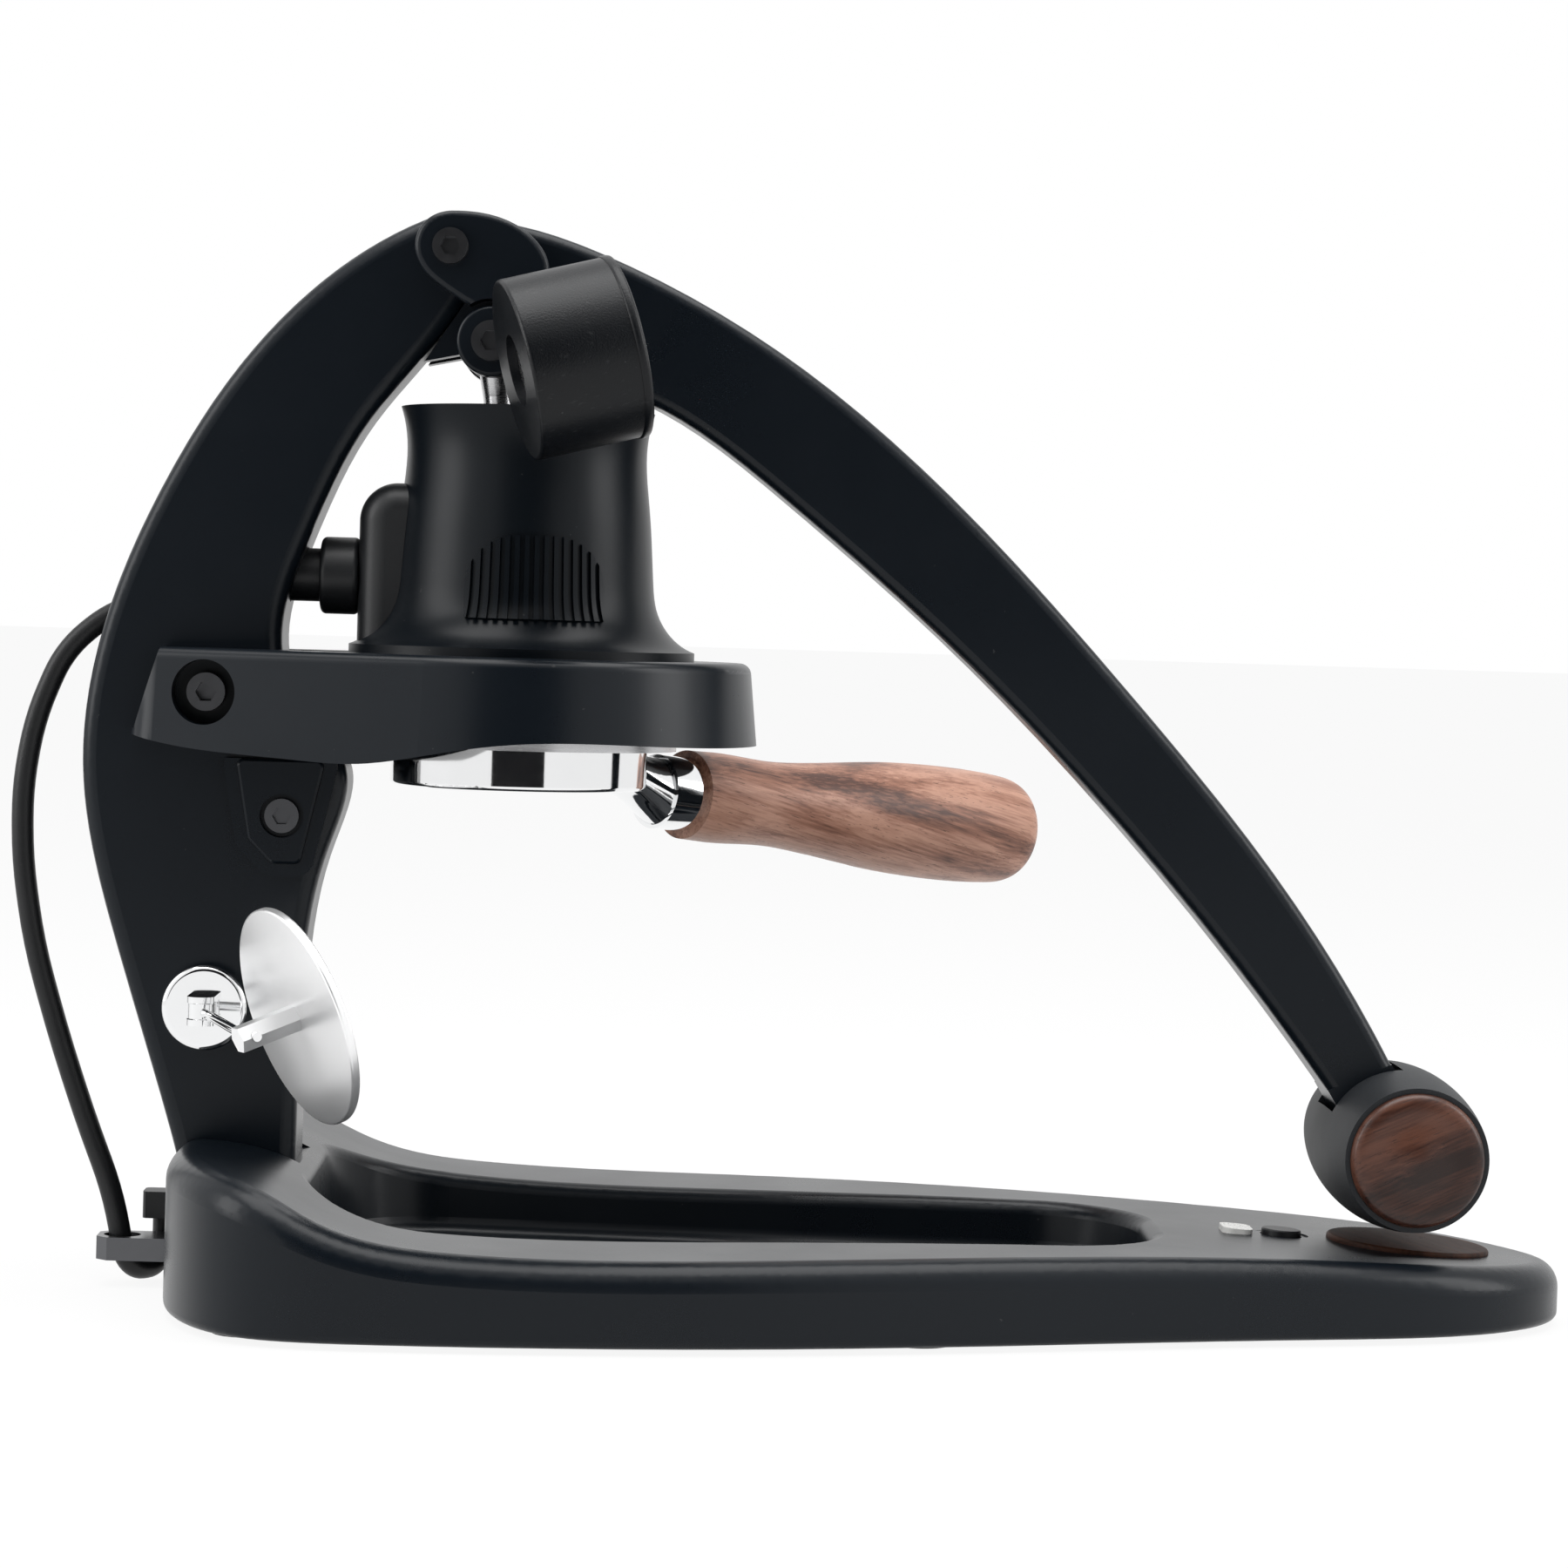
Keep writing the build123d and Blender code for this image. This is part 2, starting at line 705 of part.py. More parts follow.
# Front panel pieces
with BuildPart() as indicator_window:
    with BuildSketch(panel.offset(-window_depth)):
        with Locations((window_offset, 0)):
            RectangleRounded(window_length, window_width, window_round)
    extrude(amount=window_depth + window_proud)
finish(indicator_window, "indicator_window")

button_deep = ((button_foot.Z - bay_top) / math.cos(math.radians(panel_fall))
               + button_flange_radius * math.tan(math.radians(panel_fall)) + seat_gap)
with BuildPart() as power_button:
    with BuildSketch(panel.offset(-button_deep)):
        with Locations((button_offset, 0)):
            Circle(button_radius)
    extrude(amount=button_deep + button_proud)
    with BuildSketch(panel.offset(-button_deep)):
        with Locations((button_offset, 0)):
            Circle(button_flange_radius)
    extrude(amount=-button_flange)
    fillet(power_button.faces().sort_by(Axis.Z)[-1].edges(), radius=button_proud / 2)
finish(power_button, "power_button")

with BuildPart() as badge_disc:
    with BuildSketch(panel.offset(-badge_sunk)):
        with Locations((badge_offset, 0)):
            Circle(badge_radius)
    extrude(amount=badge_thick)
    fillet(badge_disc.faces().sort_by(Axis.Z)[-1].edges(), radius=badge_round)
finish(badge_disc, "badge_disc")

# Socket for the power lead, in the back of the base
with BuildPart() as power_inlet:
    with BuildSketch(Plane.YZ.offset(-base_back + seat_gap)):
        with Locations((inlet_y, inlet_z)):
            Circle(inlet_radius)
    extrude(amount=inlet_length - seat_gap)
    with BuildSketch(Plane.YZ.offset(-base_back + seat_gap)):
        with Locations((inlet_y, inlet_z)):
            Circle(inlet_bore)
            Circle(inlet_pin_radius, mode=Mode.SUBTRACT)
    extrude(amount=inlet_length - seat_gap - inlet_floor, mode=Mode.SUBTRACT)
finish(power_inlet, "power_inlet")

# Post: a curved arm with a tenon in the base, the pivot at its nose and a way through for the lead
plug_end = -(boss_reach + plug_collar_length + plug_barrel_length)
lead_start = Vector(plug_end - lead_back, 0, plug_z)
lead_exit = Vector(lead_exit_x, 0, lead_exit_z)
lead_axis = (lead_exit - lead_start).normalized()
lead_plane = Plane(origin=lead_start, x_dir=(0, 1, 0), z_dir=lead_axis)
with BuildPart() as post:
    with BuildSketch(Plane.XZ):
        with BuildLine():
            post_back = Spline(*[post_point(share) for share in post_back_shares],
                               around(pivot_x, pivot_z, post_nose_radius, nose_start_angle))
            post_nose = ThreePointArc(post_back @ 1, around(pivot_x, pivot_z, post_nose_radius, nose_mid_angle),
                                      around(pivot_x, pivot_z, post_nose_radius, nose_end_angle))
            post_front = Spline(post_nose @ 1, *[post_point(share) for share in post_front_shares])
            Line(post_front @ 1, post_back @ 0)
        make_face()
    extrude(amount=post_half, both=True)
    flanks = post.faces().sort_by(Axis.Y)
    rims = (flanks[0].edges() + flanks[-1].edges()).filter_by(GeomType.LINE, reverse=True)
    fillet(rims, radius=post_round)
    with BuildSketch(Plane.XY.offset(post_foot_z)):
        with Locations((tenon_mid, 0)):
            Rectangle(tenon_back - tenon_front, 2 * tenon_half)
    extrude(amount=-tenon_length)
    with BuildSketch(Plane.XY.offset(post_foot_z - tenon_length)):
        with Locations(*post_bolt_places):
            Circle(post_bolt_radius + fit_gap)
    extrude(amount=post_bolt_floor + post_bolt_length + seat_gap - post_foot_z + tenon_length, mode=Mode.SUBTRACT)
    with BuildSketch(Plane.XZ):
        with Locations((pivot_x, pivot_z)):
            Circle(bush_radius + fit_gap)
    extrude(amount=overrun, both=True, mode=Mode.SUBTRACT)
    for side in (-1, 1):
        with BuildSketch(side_plane(bracket_screw_x, side * post_half, bracket_screw_z, side)):
            Circle(bracket_screw_radius + fit_gap)
        extrude(amount=-bracket_screw_bite - seat_gap, mode=Mode.SUBTRACT)
        with BuildSketch(side_plane(clamp_x, side * (post_half - post_round), clamp_z, side)):
            add(clamp_outline(clamp_border, side))
            with Locations((0, -side * (clamp_height + clamp_border) / 2)):
                Rectangle(clamp_width + 2 * clamp_border, clamp_border, mode=Mode.SUBTRACT)
        extrude(amount=post_round + clamp_rise)
        with BuildSketch(side_plane(clamp_x, side * (post_half + clamp_rise), clamp_z, side)):
            add(clamp_outline(fit_gap, side))
        extrude(amount=-clamp_sunk, mode=Mode.SUBTRACT)
        with BuildSketch(side_plane(clamp_screw_x, side * (post_half + clamp_rise), clamp_screw_z, side)):
            Circle(clamp_screw_radius + fit_gap)
        extrude(amount=-clamp_screw_bite - clamp_sunk, mode=Mode.SUBTRACT)
    with BuildSketch(Plane.YZ.offset(plug_end - seat_gap)):
        with Locations((0, plug_z)):
            Circle(plug_barrel_radius + seat_gap)
    extrude(amount=overrun, mode=Mode.SUBTRACT)
    with BuildSketch(lead_plane):
        Circle(lead_way_radius)
    extrude(amount=overrun, mode=Mode.SUBTRACT)
finish(post, "post")

post_bolt_seats = [Plane(origin=(x, y, post_bolt_floor), z_dir=(0, 0, -1)) for x, y in post_bolt_places]
post_bolts = hex_screws(post_bolt_seats, post_bolt_head_radius, post_bolt_head, post_bolt_radius, post_bolt_length)
finish(post_bolts, "post_bolts")

with BuildPart() as pivot_bushes:
    for side in (-1, 1):
        with BuildSketch(side_plane(pivot_x, side * post_half, pivot_z, side)):
            Circle(bush_radius)
            Circle(pin_radius + fit_gap, mode=Mode.SUBTRACT)
        extrude(amount=-post_half + seat_gap)
finish(pivot_bushes, "pivot_bushes")

# Bracket: a ring with two arms that straddle the post
with BuildPart() as group_bracket:
    with BuildSketch(Plane.XY.offset(bracket_bottom)):
        Circle(bracket_radius)
        with Locations((-bracket_arm_x, bracket_arm_y), (-bracket_arm_x, -bracket_arm_y)):
            Circle(bracket_arm_radius)
        make_hull()
    extrude(amount=bracket_top - bracket_bottom, taper=bracket_draft)
    fillet(group_bracket.faces().sort_by(Axis.Z)[-1].edges(), radius=bracket_round)
    with BuildSketch(Plane.XZ):
        with BuildLine():
            bracket_foot = Spline(*[(x * bracket_radius, bracket_bottom + z * (bracket_top - bracket_bottom))
                                    for x, z in bracket_foot_shares])
            Polyline(bracket_foot @ 1, ((bracket_foot @ 1).X, bracket_top), (-bracket_end_high, bracket_top),
                     (-bracket_end_low, (bracket_foot @ 0).Y), bracket_foot @ 0)
        make_face()
    extrude(amount=bracket_radius + overrun, both=True, mode=Mode.INTERSECT)
    with BuildSketch(Plane.XY.offset(ring_seat)):
        Circle(spigot_bore)
    extrude(amount=overrun, mode=Mode.SUBTRACT)
    with BuildSketch(Plane.XY.offset(ring_seat)):
        Circle(ring_radius + fit_gap)
    extrude(amount=-overrun, mode=Mode.SUBTRACT)
    with BuildSketch(Plane.XY.offset(ring_seat)):
        with Locations((-bracket_slot_front - overrun, 0)):
            Rectangle(2 * overrun, 2 * post_half + 2 * fit_gap)
    extrude(amount=overrun, both=True, mode=Mode.SUBTRACT)
    for side in (-1, 1):
        with BuildSketch(side_plane(bracket_screw_x, side * bracket_counterbore_floor, bracket_screw_z, side)):
            Circle(bracket_counterbore_radius)
        extrude(amount=overrun, mode=Mode.SUBTRACT)
        with BuildSketch(side_plane(bracket_screw_x, side * bracket_counterbore_floor, bracket_screw_z, side)):
            Circle(bracket_screw_radius + fit_gap)
        extrude(amount=-bracket_counterbore_floor, mode=Mode.SUBTRACT)
    with BuildSketch(Plane.XY.offset(ring_seat)):
        for angle in ring_screw_angles:
            with Locations(around(0, 0, ring_screw_circle, angle)):
                Circle(ring_screw_radius + fit_gap)
    extrude(amount=ring_screw_length - ring_seat + ring_bottom + ring_screw_head + seat_gap, mode=Mode.SUBTRACT)
finish(group_bracket, "group_bracket")

bracket_seats = [side_plane(bracket_screw_x, side * bracket_counterbore_floor, bracket_screw_z, side)
                 for side in (-1, 1)]
bracket_screws = hex_screws(bracket_seats, bracket_screw_head_radius, bracket_screw_head, bracket_screw_radius,
                            bracket_counterbore_floor - post_half + bracket_screw_bite)
finish(bracket_screws, "bracket_screws")

# Clamp plates and their screws
clamp_face = post_half + clamp_rise - clamp_sunk + clamp_thick
with BuildPart() as clamp_plates:
    for side in (-1, 1):
        with BuildSketch(side_plane(clamp_x, side * clamp_face, clamp_z, side)):
            add(clamp_outline(-fit_gap, side))
        extrude(amount=-clamp_thick)
        chamfer(clamp_plates.faces().filter_by_position(Axis.Y, side * clamp_face - fit_gap, side * clamp_face + fit_gap)
                .edges(), length=clamp_bevel)
        with BuildSketch(side_plane(clamp_screw_x, side * clamp_face, clamp_screw_z, side)):
            Circle(clamp_screw_recess_radius)
        extrude(amount=-clamp_screw_recess, mode=Mode.SUBTRACT)
        with BuildSketch(side_plane(clamp_screw_x, side * clamp_face, clamp_screw_z, side)):
            Circle(clamp_screw_radius + fit_gap)
        extrude(amount=-clamp_thick, mode=Mode.SUBTRACT)
finish(clamp_plates, "clamp_plates")

clamp_seats = [side_plane(clamp_screw_x, side * (clamp_face - clamp_screw_recess), clamp_screw_z, side)
               for side in (-1, 1)]
clamp_screws = hex_screws(clamp_seats, clamp_screw_head_radius, clamp_screw_head, clamp_screw_radius,
                          clamp_thick - clamp_screw_recess + clamp_screw_bite)
finish(clamp_screws, "clamp_screws")

# Bayonet ring under the bracket, with two ways in for the portafilter's lugs
with BuildPart() as bayonet_ring:
    with BuildSketch(Plane.XZ):
        with BuildLine():
            Polyline((ring_lip_radius, ring_bottom), (ring_radius, ring_bottom), (ring_radius, ring_seat),
                     (ring_gasket_radius, ring_seat), (ring_gasket_radius, ring_groove_top),
                     (ring_groove_radius, ring_groove_top), (ring_groove_radius, ring_groove_bottom),
                     (ring_lip_radius, ring_groove_bottom), close=True)
        make_face()
    revolve(axis=Axis.Z)
    with BuildSketch(Plane.XY.offset(ring_bottom)):
        Circle(ring_groove_radius)
        Rectangle(2 * ring_radius, 2 * ring_groove_radius * math.sin(math.radians(ring_entry_angle / 2)),
                  rotation=filter_turn + 90 + ring_entry_turn, mode=Mode.INTERSECT)
    extrude(amount=ring_groove_bottom - ring_bottom, mode=Mode.SUBTRACT)
    with BuildSketch(Plane.XY.offset(ring_bottom)):
        for angle in ring_screw_angles:
            with Locations(around(0, 0, ring_screw_circle, angle)):
                Circle(ring_screw_radius + fit_gap)
    extrude(amount=overrun, mode=Mode.SUBTRACT)
    with BuildSketch(Plane.XY.offset(ring_bottom)):
        for angle in ring_screw_angles:
            with Locations(around(0, 0, ring_screw_circle, angle)):
                Circle(ring_screw_head_radius + fit_gap)
    extrude(amount=ring_screw_head, mode=Mode.SUBTRACT)
finish(bayonet_ring, "bayonet_ring")

ring_seats = [Plane(origin=(*around(0, 0, ring_screw_circle, angle), ring_bottom + ring_screw_head), z_dir=(0, 0, -1))
              for angle in ring_screw_angles]
ring_screws = hex_screws(ring_seats, ring_screw_head_radius, ring_screw_head, ring_screw_radius, ring_screw_length)
finish(ring_screws, "ring_screws")

# Gasket that the filter basket is pressed against
with BuildPart() as group_gasket:
    with BuildSketch(Plane.XY.offset(ring_seat)):
        Circle(gasket_radius)
        Circle(gasket_bore, mode=Mode.SUBTRACT)
    extrude(amount=-gasket_thick)
finish(group_gasket, "group_gasket")

# Brew cylinder: tube, flange on the bracket and spigot through it
with BuildPart() as brew_cylinder:
    with BuildSketch(Plane.XZ):
        with BuildLine():
            Polyline((cylinder_bore, ring_seat), (spigot_bore - fit_gap, ring_seat), (spigot_bore - fit_gap, bracket_top),
                     (cylinder_flange_radius, bracket_top), (cylinder_flange_radius, bracket_top + cylinder_flange),
                     (cylinder_radius, bracket_top + cylinder_flange), (cylinder_radius, cylinder_top),
                     (cylinder_bore, cylinder_top), close=True)
        make_face()
    revolve(axis=Axis.Z)
finish(brew_cylinder, "brew_cylinder")

with BuildPart() as shower_screen:
    with BuildSketch(Plane.XY.offset(ring_seat)):
        Circle(screen_radius)
        for row in range(1, screen_hole_rows + 1):
            with PolarLocations(row * screen_hole_pitch, 6 * row):
                Circle(screen_hole_radius, mode=Mode.SUBTRACT)
    extrude(amount=-screen_thick)
finish(shower_screen, "shower_screen")

with BuildPart() as heater_band:
    with BuildSketch(Plane.XY.offset(heater_bottom)):
        Circle(cylinder_radius + fit_gap + heater_thick)
        Circle(cylinder_radius + fit_gap, mode=Mode.SUBTRACT)
    extrude(amount=heater_height)
finish(heater_band, "heater_band")

# Sleeve round the brew cylinder
sleeve_foot = bracket_top + sleeve_flange
sleeve_cavity = bracket_top + cylinder_flange + fit_gap


def sleeve_points(shift):
    """The sleeve's outer outline from flange to rim, moved out by a shift."""
    return [(r * sleeve_flange_radius + shift, sleeve_foot + z * (sleeve_top - sleeve_foot)) for r, z in sleeve_shares]


with BuildPart() as brew_sleeve:
    with BuildSketch(Plane.XZ):
        with BuildLine():
            sleeve_side = Spline(*sleeve_points(0))
            Polyline(sleeve_side @ 1, (sleeve_rim_bore, sleeve_top), (sleeve_rim_bore, cylinder_top + fit_gap),
                     (sleeve_bore, cylinder_top + fit_gap), (sleeve_bore, sleeve_cavity),
                     (cylinder_flange_radius + fit_gap, sleeve_cavity), (cylinder_flange_radius + fit_gap, bracket_top),
                     (sleeve_flange_radius, bracket_top), sleeve_side @ 0)
        make_face()
    revolve(axis=Axis.Z)
finish(brew_sleeve, "brew_sleeve")


def grip_pads(rise, ribbed):
    """Arched pads on both sides of the sleeve, standing out by a rise, cut into ribs where asked."""
    with BuildPart() as pads:
        for side in (-1, 1):
            turn = math.radians(side * grip_pad_turn)
            pad_plane = Plane(origin=(0, 0, grip_pad_bottom), x_dir=(-math.sin(turn), math.cos(turn), 0),
                              z_dir=(math.cos(turn), math.sin(turn), 0))
            with BuildSketch(pad_plane) as pad:
                with Locations((0, grip_pad_height / 2)):
                    Rectangle(grip_pad_width, grip_pad_height)
                fillet(pad.vertices().group_by(Axis.Y)[-1], radius=grip_pad_round)
            extrude(amount=overrun)
        with BuildSketch(Plane.XZ):
            with BuildLine():
                inner = Spline(*sleeve_points(0))
                outer = Spline(*sleeve_points(rise))
                Line(inner @ 0, outer @ 0)
                Line(inner @ 1, outer @ 1)
            make_face()
        revolve(axis=Axis.Z, mode=Mode.INTERSECT)
        if ribbed:
            with BuildSketch(Plane.XY.offset(grip_pad_bottom)):
                for side in (-1, 1):
                    for step in range(grip_pad_ribs - 1):
                        angle = side * grip_pad_turn + (step + 1 - grip_pad_ribs / 2) * grip_pad_rib_step
                        with Locations(around(0, 0, overrun / 2, angle)):
                            Rectangle(overrun, grip_pad_rib_width, rotation=angle)
            extrude(amount=grip_pad_height, mode=Mode.SUBTRACT)
    return pads


pad_webs = grip_pads(grip_pad_rise, False)
pad_ribs = grip_pads(grip_pad_rise + grip_pad_rib, True)
with BuildPart() as thumb_grips:
    add(pad_webs.part)
    add(pad_ribs.part)
finish(thumb_grips, "thumb_grips")

# Connector boss at the back of the sleeve, then the plug and the lead through the post
with BuildPart() as connector_boss:
    with BuildSketch(Plane.XZ) as boss:
        with BuildLine():
            Polyline((-boss_reach, boss_bottom), (-boss_reach, boss_top), (-cylinder_bore, boss_top),
                     (-cylinder_bore, boss_bottom), close=True)
        make_face()
        fillet(boss.vertices().group_by(Axis.X)[0].sort_by(Axis.Y)[-1], radius=boss_reach - sleeve_bore - boss_round / 2)
    extrude(amount=boss_half, both=True)
    fillet(connector_boss.edges().filter_by(Axis.Z).group_by(Axis.X)[0], radius=boss_round)
    with BuildSketch(Plane.XZ):
        with BuildLine():
            boss_cut = Spline(*sleeve_points(fit_gap))
            Polyline(boss_cut @ 1, (0, sleeve_top), (0, sleeve_foot), boss_cut @ 0)
        make_face()
    revolve(axis=Axis.Z, mode=Mode.SUBTRACT)
finish(connector_boss, "connector_boss")

with BuildPart() as head_plug:
    with BuildSketch(Plane.YZ.offset(-boss_reach)):
        with Locations((0, plug_z)):
            Circle(plug_collar_radius)
    extrude(amount=-plug_collar_length)
    fillet(head_plug.edges().filter_by(GeomType.CIRCLE), radius=plug_collar_round)
    with BuildSketch(Plane.YZ.offset(-boss_reach - plug_collar_length)):
        with Locations((0, plug_z)):
            Circle(plug_barrel_radius)
    extrude(amount=-plug_barrel_length)
finish(head_plug, "head_plug")

# Cable, through the post and down to the base: straight runs joined by arcs as large as the runs allow
cable_corners = [lead_start, lead_exit] + [Vector(*point) for point in cable_points]
cable_runs = [b - a for a, b in zip(cable_corners, cable_corners[1:])]
cable_radii = [arc_share * min(a.length, b.length) / math.tan(math.radians(a.get_angle(b) / 2))
               for a, b in zip(cable_runs, cable_runs[1:])]
with BuildPart() as cable:
    with BuildLine() as cable_path:
        FilletPolyline(*cable_corners, radius=cable_radii)
    with BuildSketch(lead_plane):
        Circle(lead_radius)
    sweep(path=cable_path.line)
finish(cable, "cable")

with BuildPart() as cable_clip:
    with BuildSketch(Plane.XY.offset(clip_bottom)) as clip:
        with Locations((-base_back - clip_reach / 2 - fit_gap, 0)):
            Rectangle(clip_reach, 2 * clip_half)
        chamfer(clip.vertices(), clip_chamfer)
        with Locations((clip_hole_x, 0)):
            Circle(clip_hole_radius, mode=Mode.SUBTRACT)
    extrude(amount=clip_thick)
    with BuildSketch(Plane.XY.offset(clip_bottom + (clip_thick - clip_root_thick) / 2)):
        with Locations((-base_back - fit_gap + (clip_root - clip_chamfer) / 2, 0)):
            Rectangle(clip_root + clip_chamfer, 2 * clip_root_half)
    extrude(amount=clip_root_thick)
finish(cable_clip, "cable_clip")

with BuildPart() as base_plug:
    with BuildSketch(Plane.XY.offset(base_plug_bottom)):
        with Locations((-base_back - base_plug_length / 2 - fit_gap, base_plug_y)):
            RectangleRounded(base_plug_length, base_plug_width, base_plug_round)
    extrude(amount=base_plug_height)
    with BuildSketch(Plane.YZ.offset(-base_back - base_plug_length / 2)):
        with Locations((base_plug_y, base_plug_bottom + base_plug_height / 2)):
            Circle(base_plug_barrel_radius)
    extrude(amount=base_plug_length / 2 + base_plug_barrel - seat_gap)
finish(base_plug, "base_plug")

# Lever: a curved beam, ears either side of the post's nose, lugs for the yoke and a hub in the grip
lever_tip = lever_point(lever_top_shares[-1])
lever_heel = lever_point(lever_foot_shares[0])
tang_axis = (Vector((lever_tip[0] + lever_heel[0]) / 2, (lever_tip[1] + lever_heel[1]) / 2)
             - Vector(grip_x, grip_z)).normalized()
neck_high = around(pivot_x, pivot_z, neck_radius + neck_gap, nose_end_angle)
neck_low = (pivot_x + neck_low_x, pivot_z - neck_low_drop)
with BuildPart() as lever_arm:
    with BuildSketch(Plane.XZ):
        with BuildLine():
            lever_top = Spline(*[lever_point(share) for share in lever_top_shares])
            lever_foot = Spline(*[lever_point(share) for share in lever_foot_shares])
            Line(lever_top @ 1, lever_foot @ 0)
            Line(lever_foot @ 1, lever_top @ 0)
        make_face()
    extrude(amount=lever_half, both=True)
    flanks = lever_arm.faces().sort_by(Axis.Y)
    rims = (flanks[0].edges() + flanks[-1].edges()).filter_by(GeomType.LINE, reverse=True)
    fillet(rims, radius=lever_round)
    with BuildSketch(Plane.XZ):
        with BuildLine():
            Polyline(lever_point(lever_top_shares[0]), neck_high, neck_low,
                     (pivot_x + web_x, pivot_z - web_drop), (yoke_x, yoke_z - lug_radius),
                     lever_point(lever_foot_shares[-1]), (pivot_x + neck_front_x, pivot_z - neck_front_drop), close=True)
        make_face()
        with Locations((yoke_x, yoke_z)):
            Circle(lug_radius)
    extrude(amount=lever_half, both=True)
    with BuildSketch(Plane.XZ):
        with Locations((grip_x, grip_z)):
            Circle(hub_radius)
        with BuildLine():
            Polyline(lever_tip, lever_heel,
                     (grip_x - tang_half * tang_axis.Y, grip_z + tang_half * tang_axis.X),
                     (grip_x + tang_half * tang_axis.Y, grip_z - tang_half * tang_axis.X), close=True)
        make_face()
    extrude(amount=lever_half, both=True)
    with BuildSketch(Plane.XZ):
        with BuildLine():
            Spline(*[(pivot_x + x * ear_radius, pivot_z + z * ear_radius) for x, z in ear_shares], periodic=True)
        make_face()
    extrude(amount=ear_half, both=True)
    flanks = lever_arm.faces().sort_by(Axis.Y)
    fillet(flanks[0].edges() + flanks[-1].edges(), radius=ear_round)
    with BuildSketch(Plane.XZ):
        with Locations((pivot_x, pivot_z)):
            Circle(neck_radius)
        with BuildLine():
            Polyline(neck_high, neck_low, (neck_low[0] - overrun, neck_low[1]), (neck_low[0] - overrun, pivot_z),
                     (pivot_x, pivot_z), close=True)
        make_face()
        with BuildLine():
            Polyline((pivot_x, pivot_z), around(pivot_x, pivot_z, overrun, relief_start_angle),
                     around(pivot_x, pivot_z, overrun, relief_end_angle), close=True)
        make_face()
    extrude(amount=post_half + ear_gap, both=True, mode=Mode.SUBTRACT)
    for side in (-1, 1):
        with BuildSketch(side_plane(yoke_x, side * lever_half, yoke_z, side)):
            Circle(yoke_room)
        extrude(amount=overrun, mode=Mode.SUBTRACT)
    with BuildSketch(Plane.XZ):
        with Locations((yoke_x + lug_slot_front - overrun / 2, yoke_z + lug_slot_front - overrun / 2)):
            Rectangle(overrun, overrun)
    extrude(amount=lug_slot_half, both=True, mode=Mode.SUBTRACT)
    with BuildSketch(Plane.XZ):
        with Locations((pivot_x, pivot_z)):
            Circle(pin_radius + fit_gap)
        with Locations((yoke_x, yoke_z)):
            Circle(yoke_pin_radius + fit_gap)
        with Locations((grip_x, grip_z)):
            Circle(core_radius + fit_gap)
    extrude(amount=overrun, both=True, mode=Mode.SUBTRACT)
finish(lever_arm, "lever_arm")

with BuildPart() as pivot_pin:
    with BuildSketch(Plane.XZ):
        with Locations((pivot_x, pivot_z)):
            Circle(pin_radius)
    extrude(amount=ear_half, both=True)
    with BuildSketch(Plane.XZ):
        with Locations((pivot_x, pivot_z)):
            Circle(pivot_screw_radius + fit_gap)
    extrude(amount=ear_half, both=True, mode=Mode.SUBTRACT)
finish(pivot_pin, "pivot_pin")

pivot_seats = [side_plane(pivot_x, side * ear_half, pivot_z, side) for side in (-1, 1)]
pivot_screws = hex_screws(pivot_seats, pivot_screw_head_radius, pivot_screw_head, pivot_screw_radius,
                          pivot_screw_length)
finish(pivot_screws, "pivot_screws")

# Grip: steel core, rubber barrel and two domed wooden caps
with BuildPart() as grip_core:
    with BuildSketch(Plane.XZ):
        with Locations((grip_x, grip_z)):
            Circle(core_radius)
    extrude(amount=grip_half - cap_seat, both=True)
finish(grip_core, "grip_core")

grip_profile = Plane(origin=(grip_x, 0, grip_z), x_dir=(0, 1, 0), z_dir=(1, 0, 0))
grip_turn = Axis((grip_x, 0, grip_z), (0, 1, 0))
with BuildPart() as lever_grip:
    with BuildSketch(grip_profile):
        with BuildLine():
            barrel = ThreePointArc((-grip_half, grip_end_radius), (0, grip_mid_radius), (grip_half, grip_end_radius))
            Polyline(barrel @ 1, (grip_half, cap_radius + fit_gap), (grip_half - cap_seat, cap_radius + fit_gap),
                     (grip_half - cap_seat, core_radius + fit_gap), (-grip_half + cap_seat, core_radius + fit_gap),
                     (-grip_half + cap_seat, cap_radius + fit_gap), (-grip_half, cap_radius + fit_gap), barrel @ 0)
        make_face()
    revolve(axis=grip_turn)
    with BuildSketch(Plane.XZ):
        with Locations((grip_x, grip_z)):
            Circle(hub_radius + seat_gap)
        with Locations((grip_x + tang_axis.X * overrun / 2, grip_z + tang_axis.Y * overrun / 2)):
            Rectangle(overrun, slot_width, rotation=math.degrees(math.atan2(tang_axis.Y, tang_axis.X)))
    extrude(amount=lever_half + seat_gap, both=True, mode=Mode.SUBTRACT)
finish(lever_grip, "lever_grip")

with BuildPart() as grip_caps:
    for side in (-1, 1):
        with BuildSketch(grip_profile):
            with BuildLine():
                Polyline((side * grip_half, cap_radius), (side * (grip_half - cap_seat), cap_radius),
                         (side * (grip_half - cap_seat), 0), (side * (grip_half + cap_dome), 0))
                Spline((side * (grip_half + cap_dome), 0), (side * (grip_half + cap_dome * cap_shoulder_share),
                       cap_radius * cap_edge_share), (side * grip_half, cap_radius),
                       tangents=((0, 1), (-side, 0)))
            make_face()
        revolve(axis=grip_turn)
finish(grip_caps, "grip_caps")


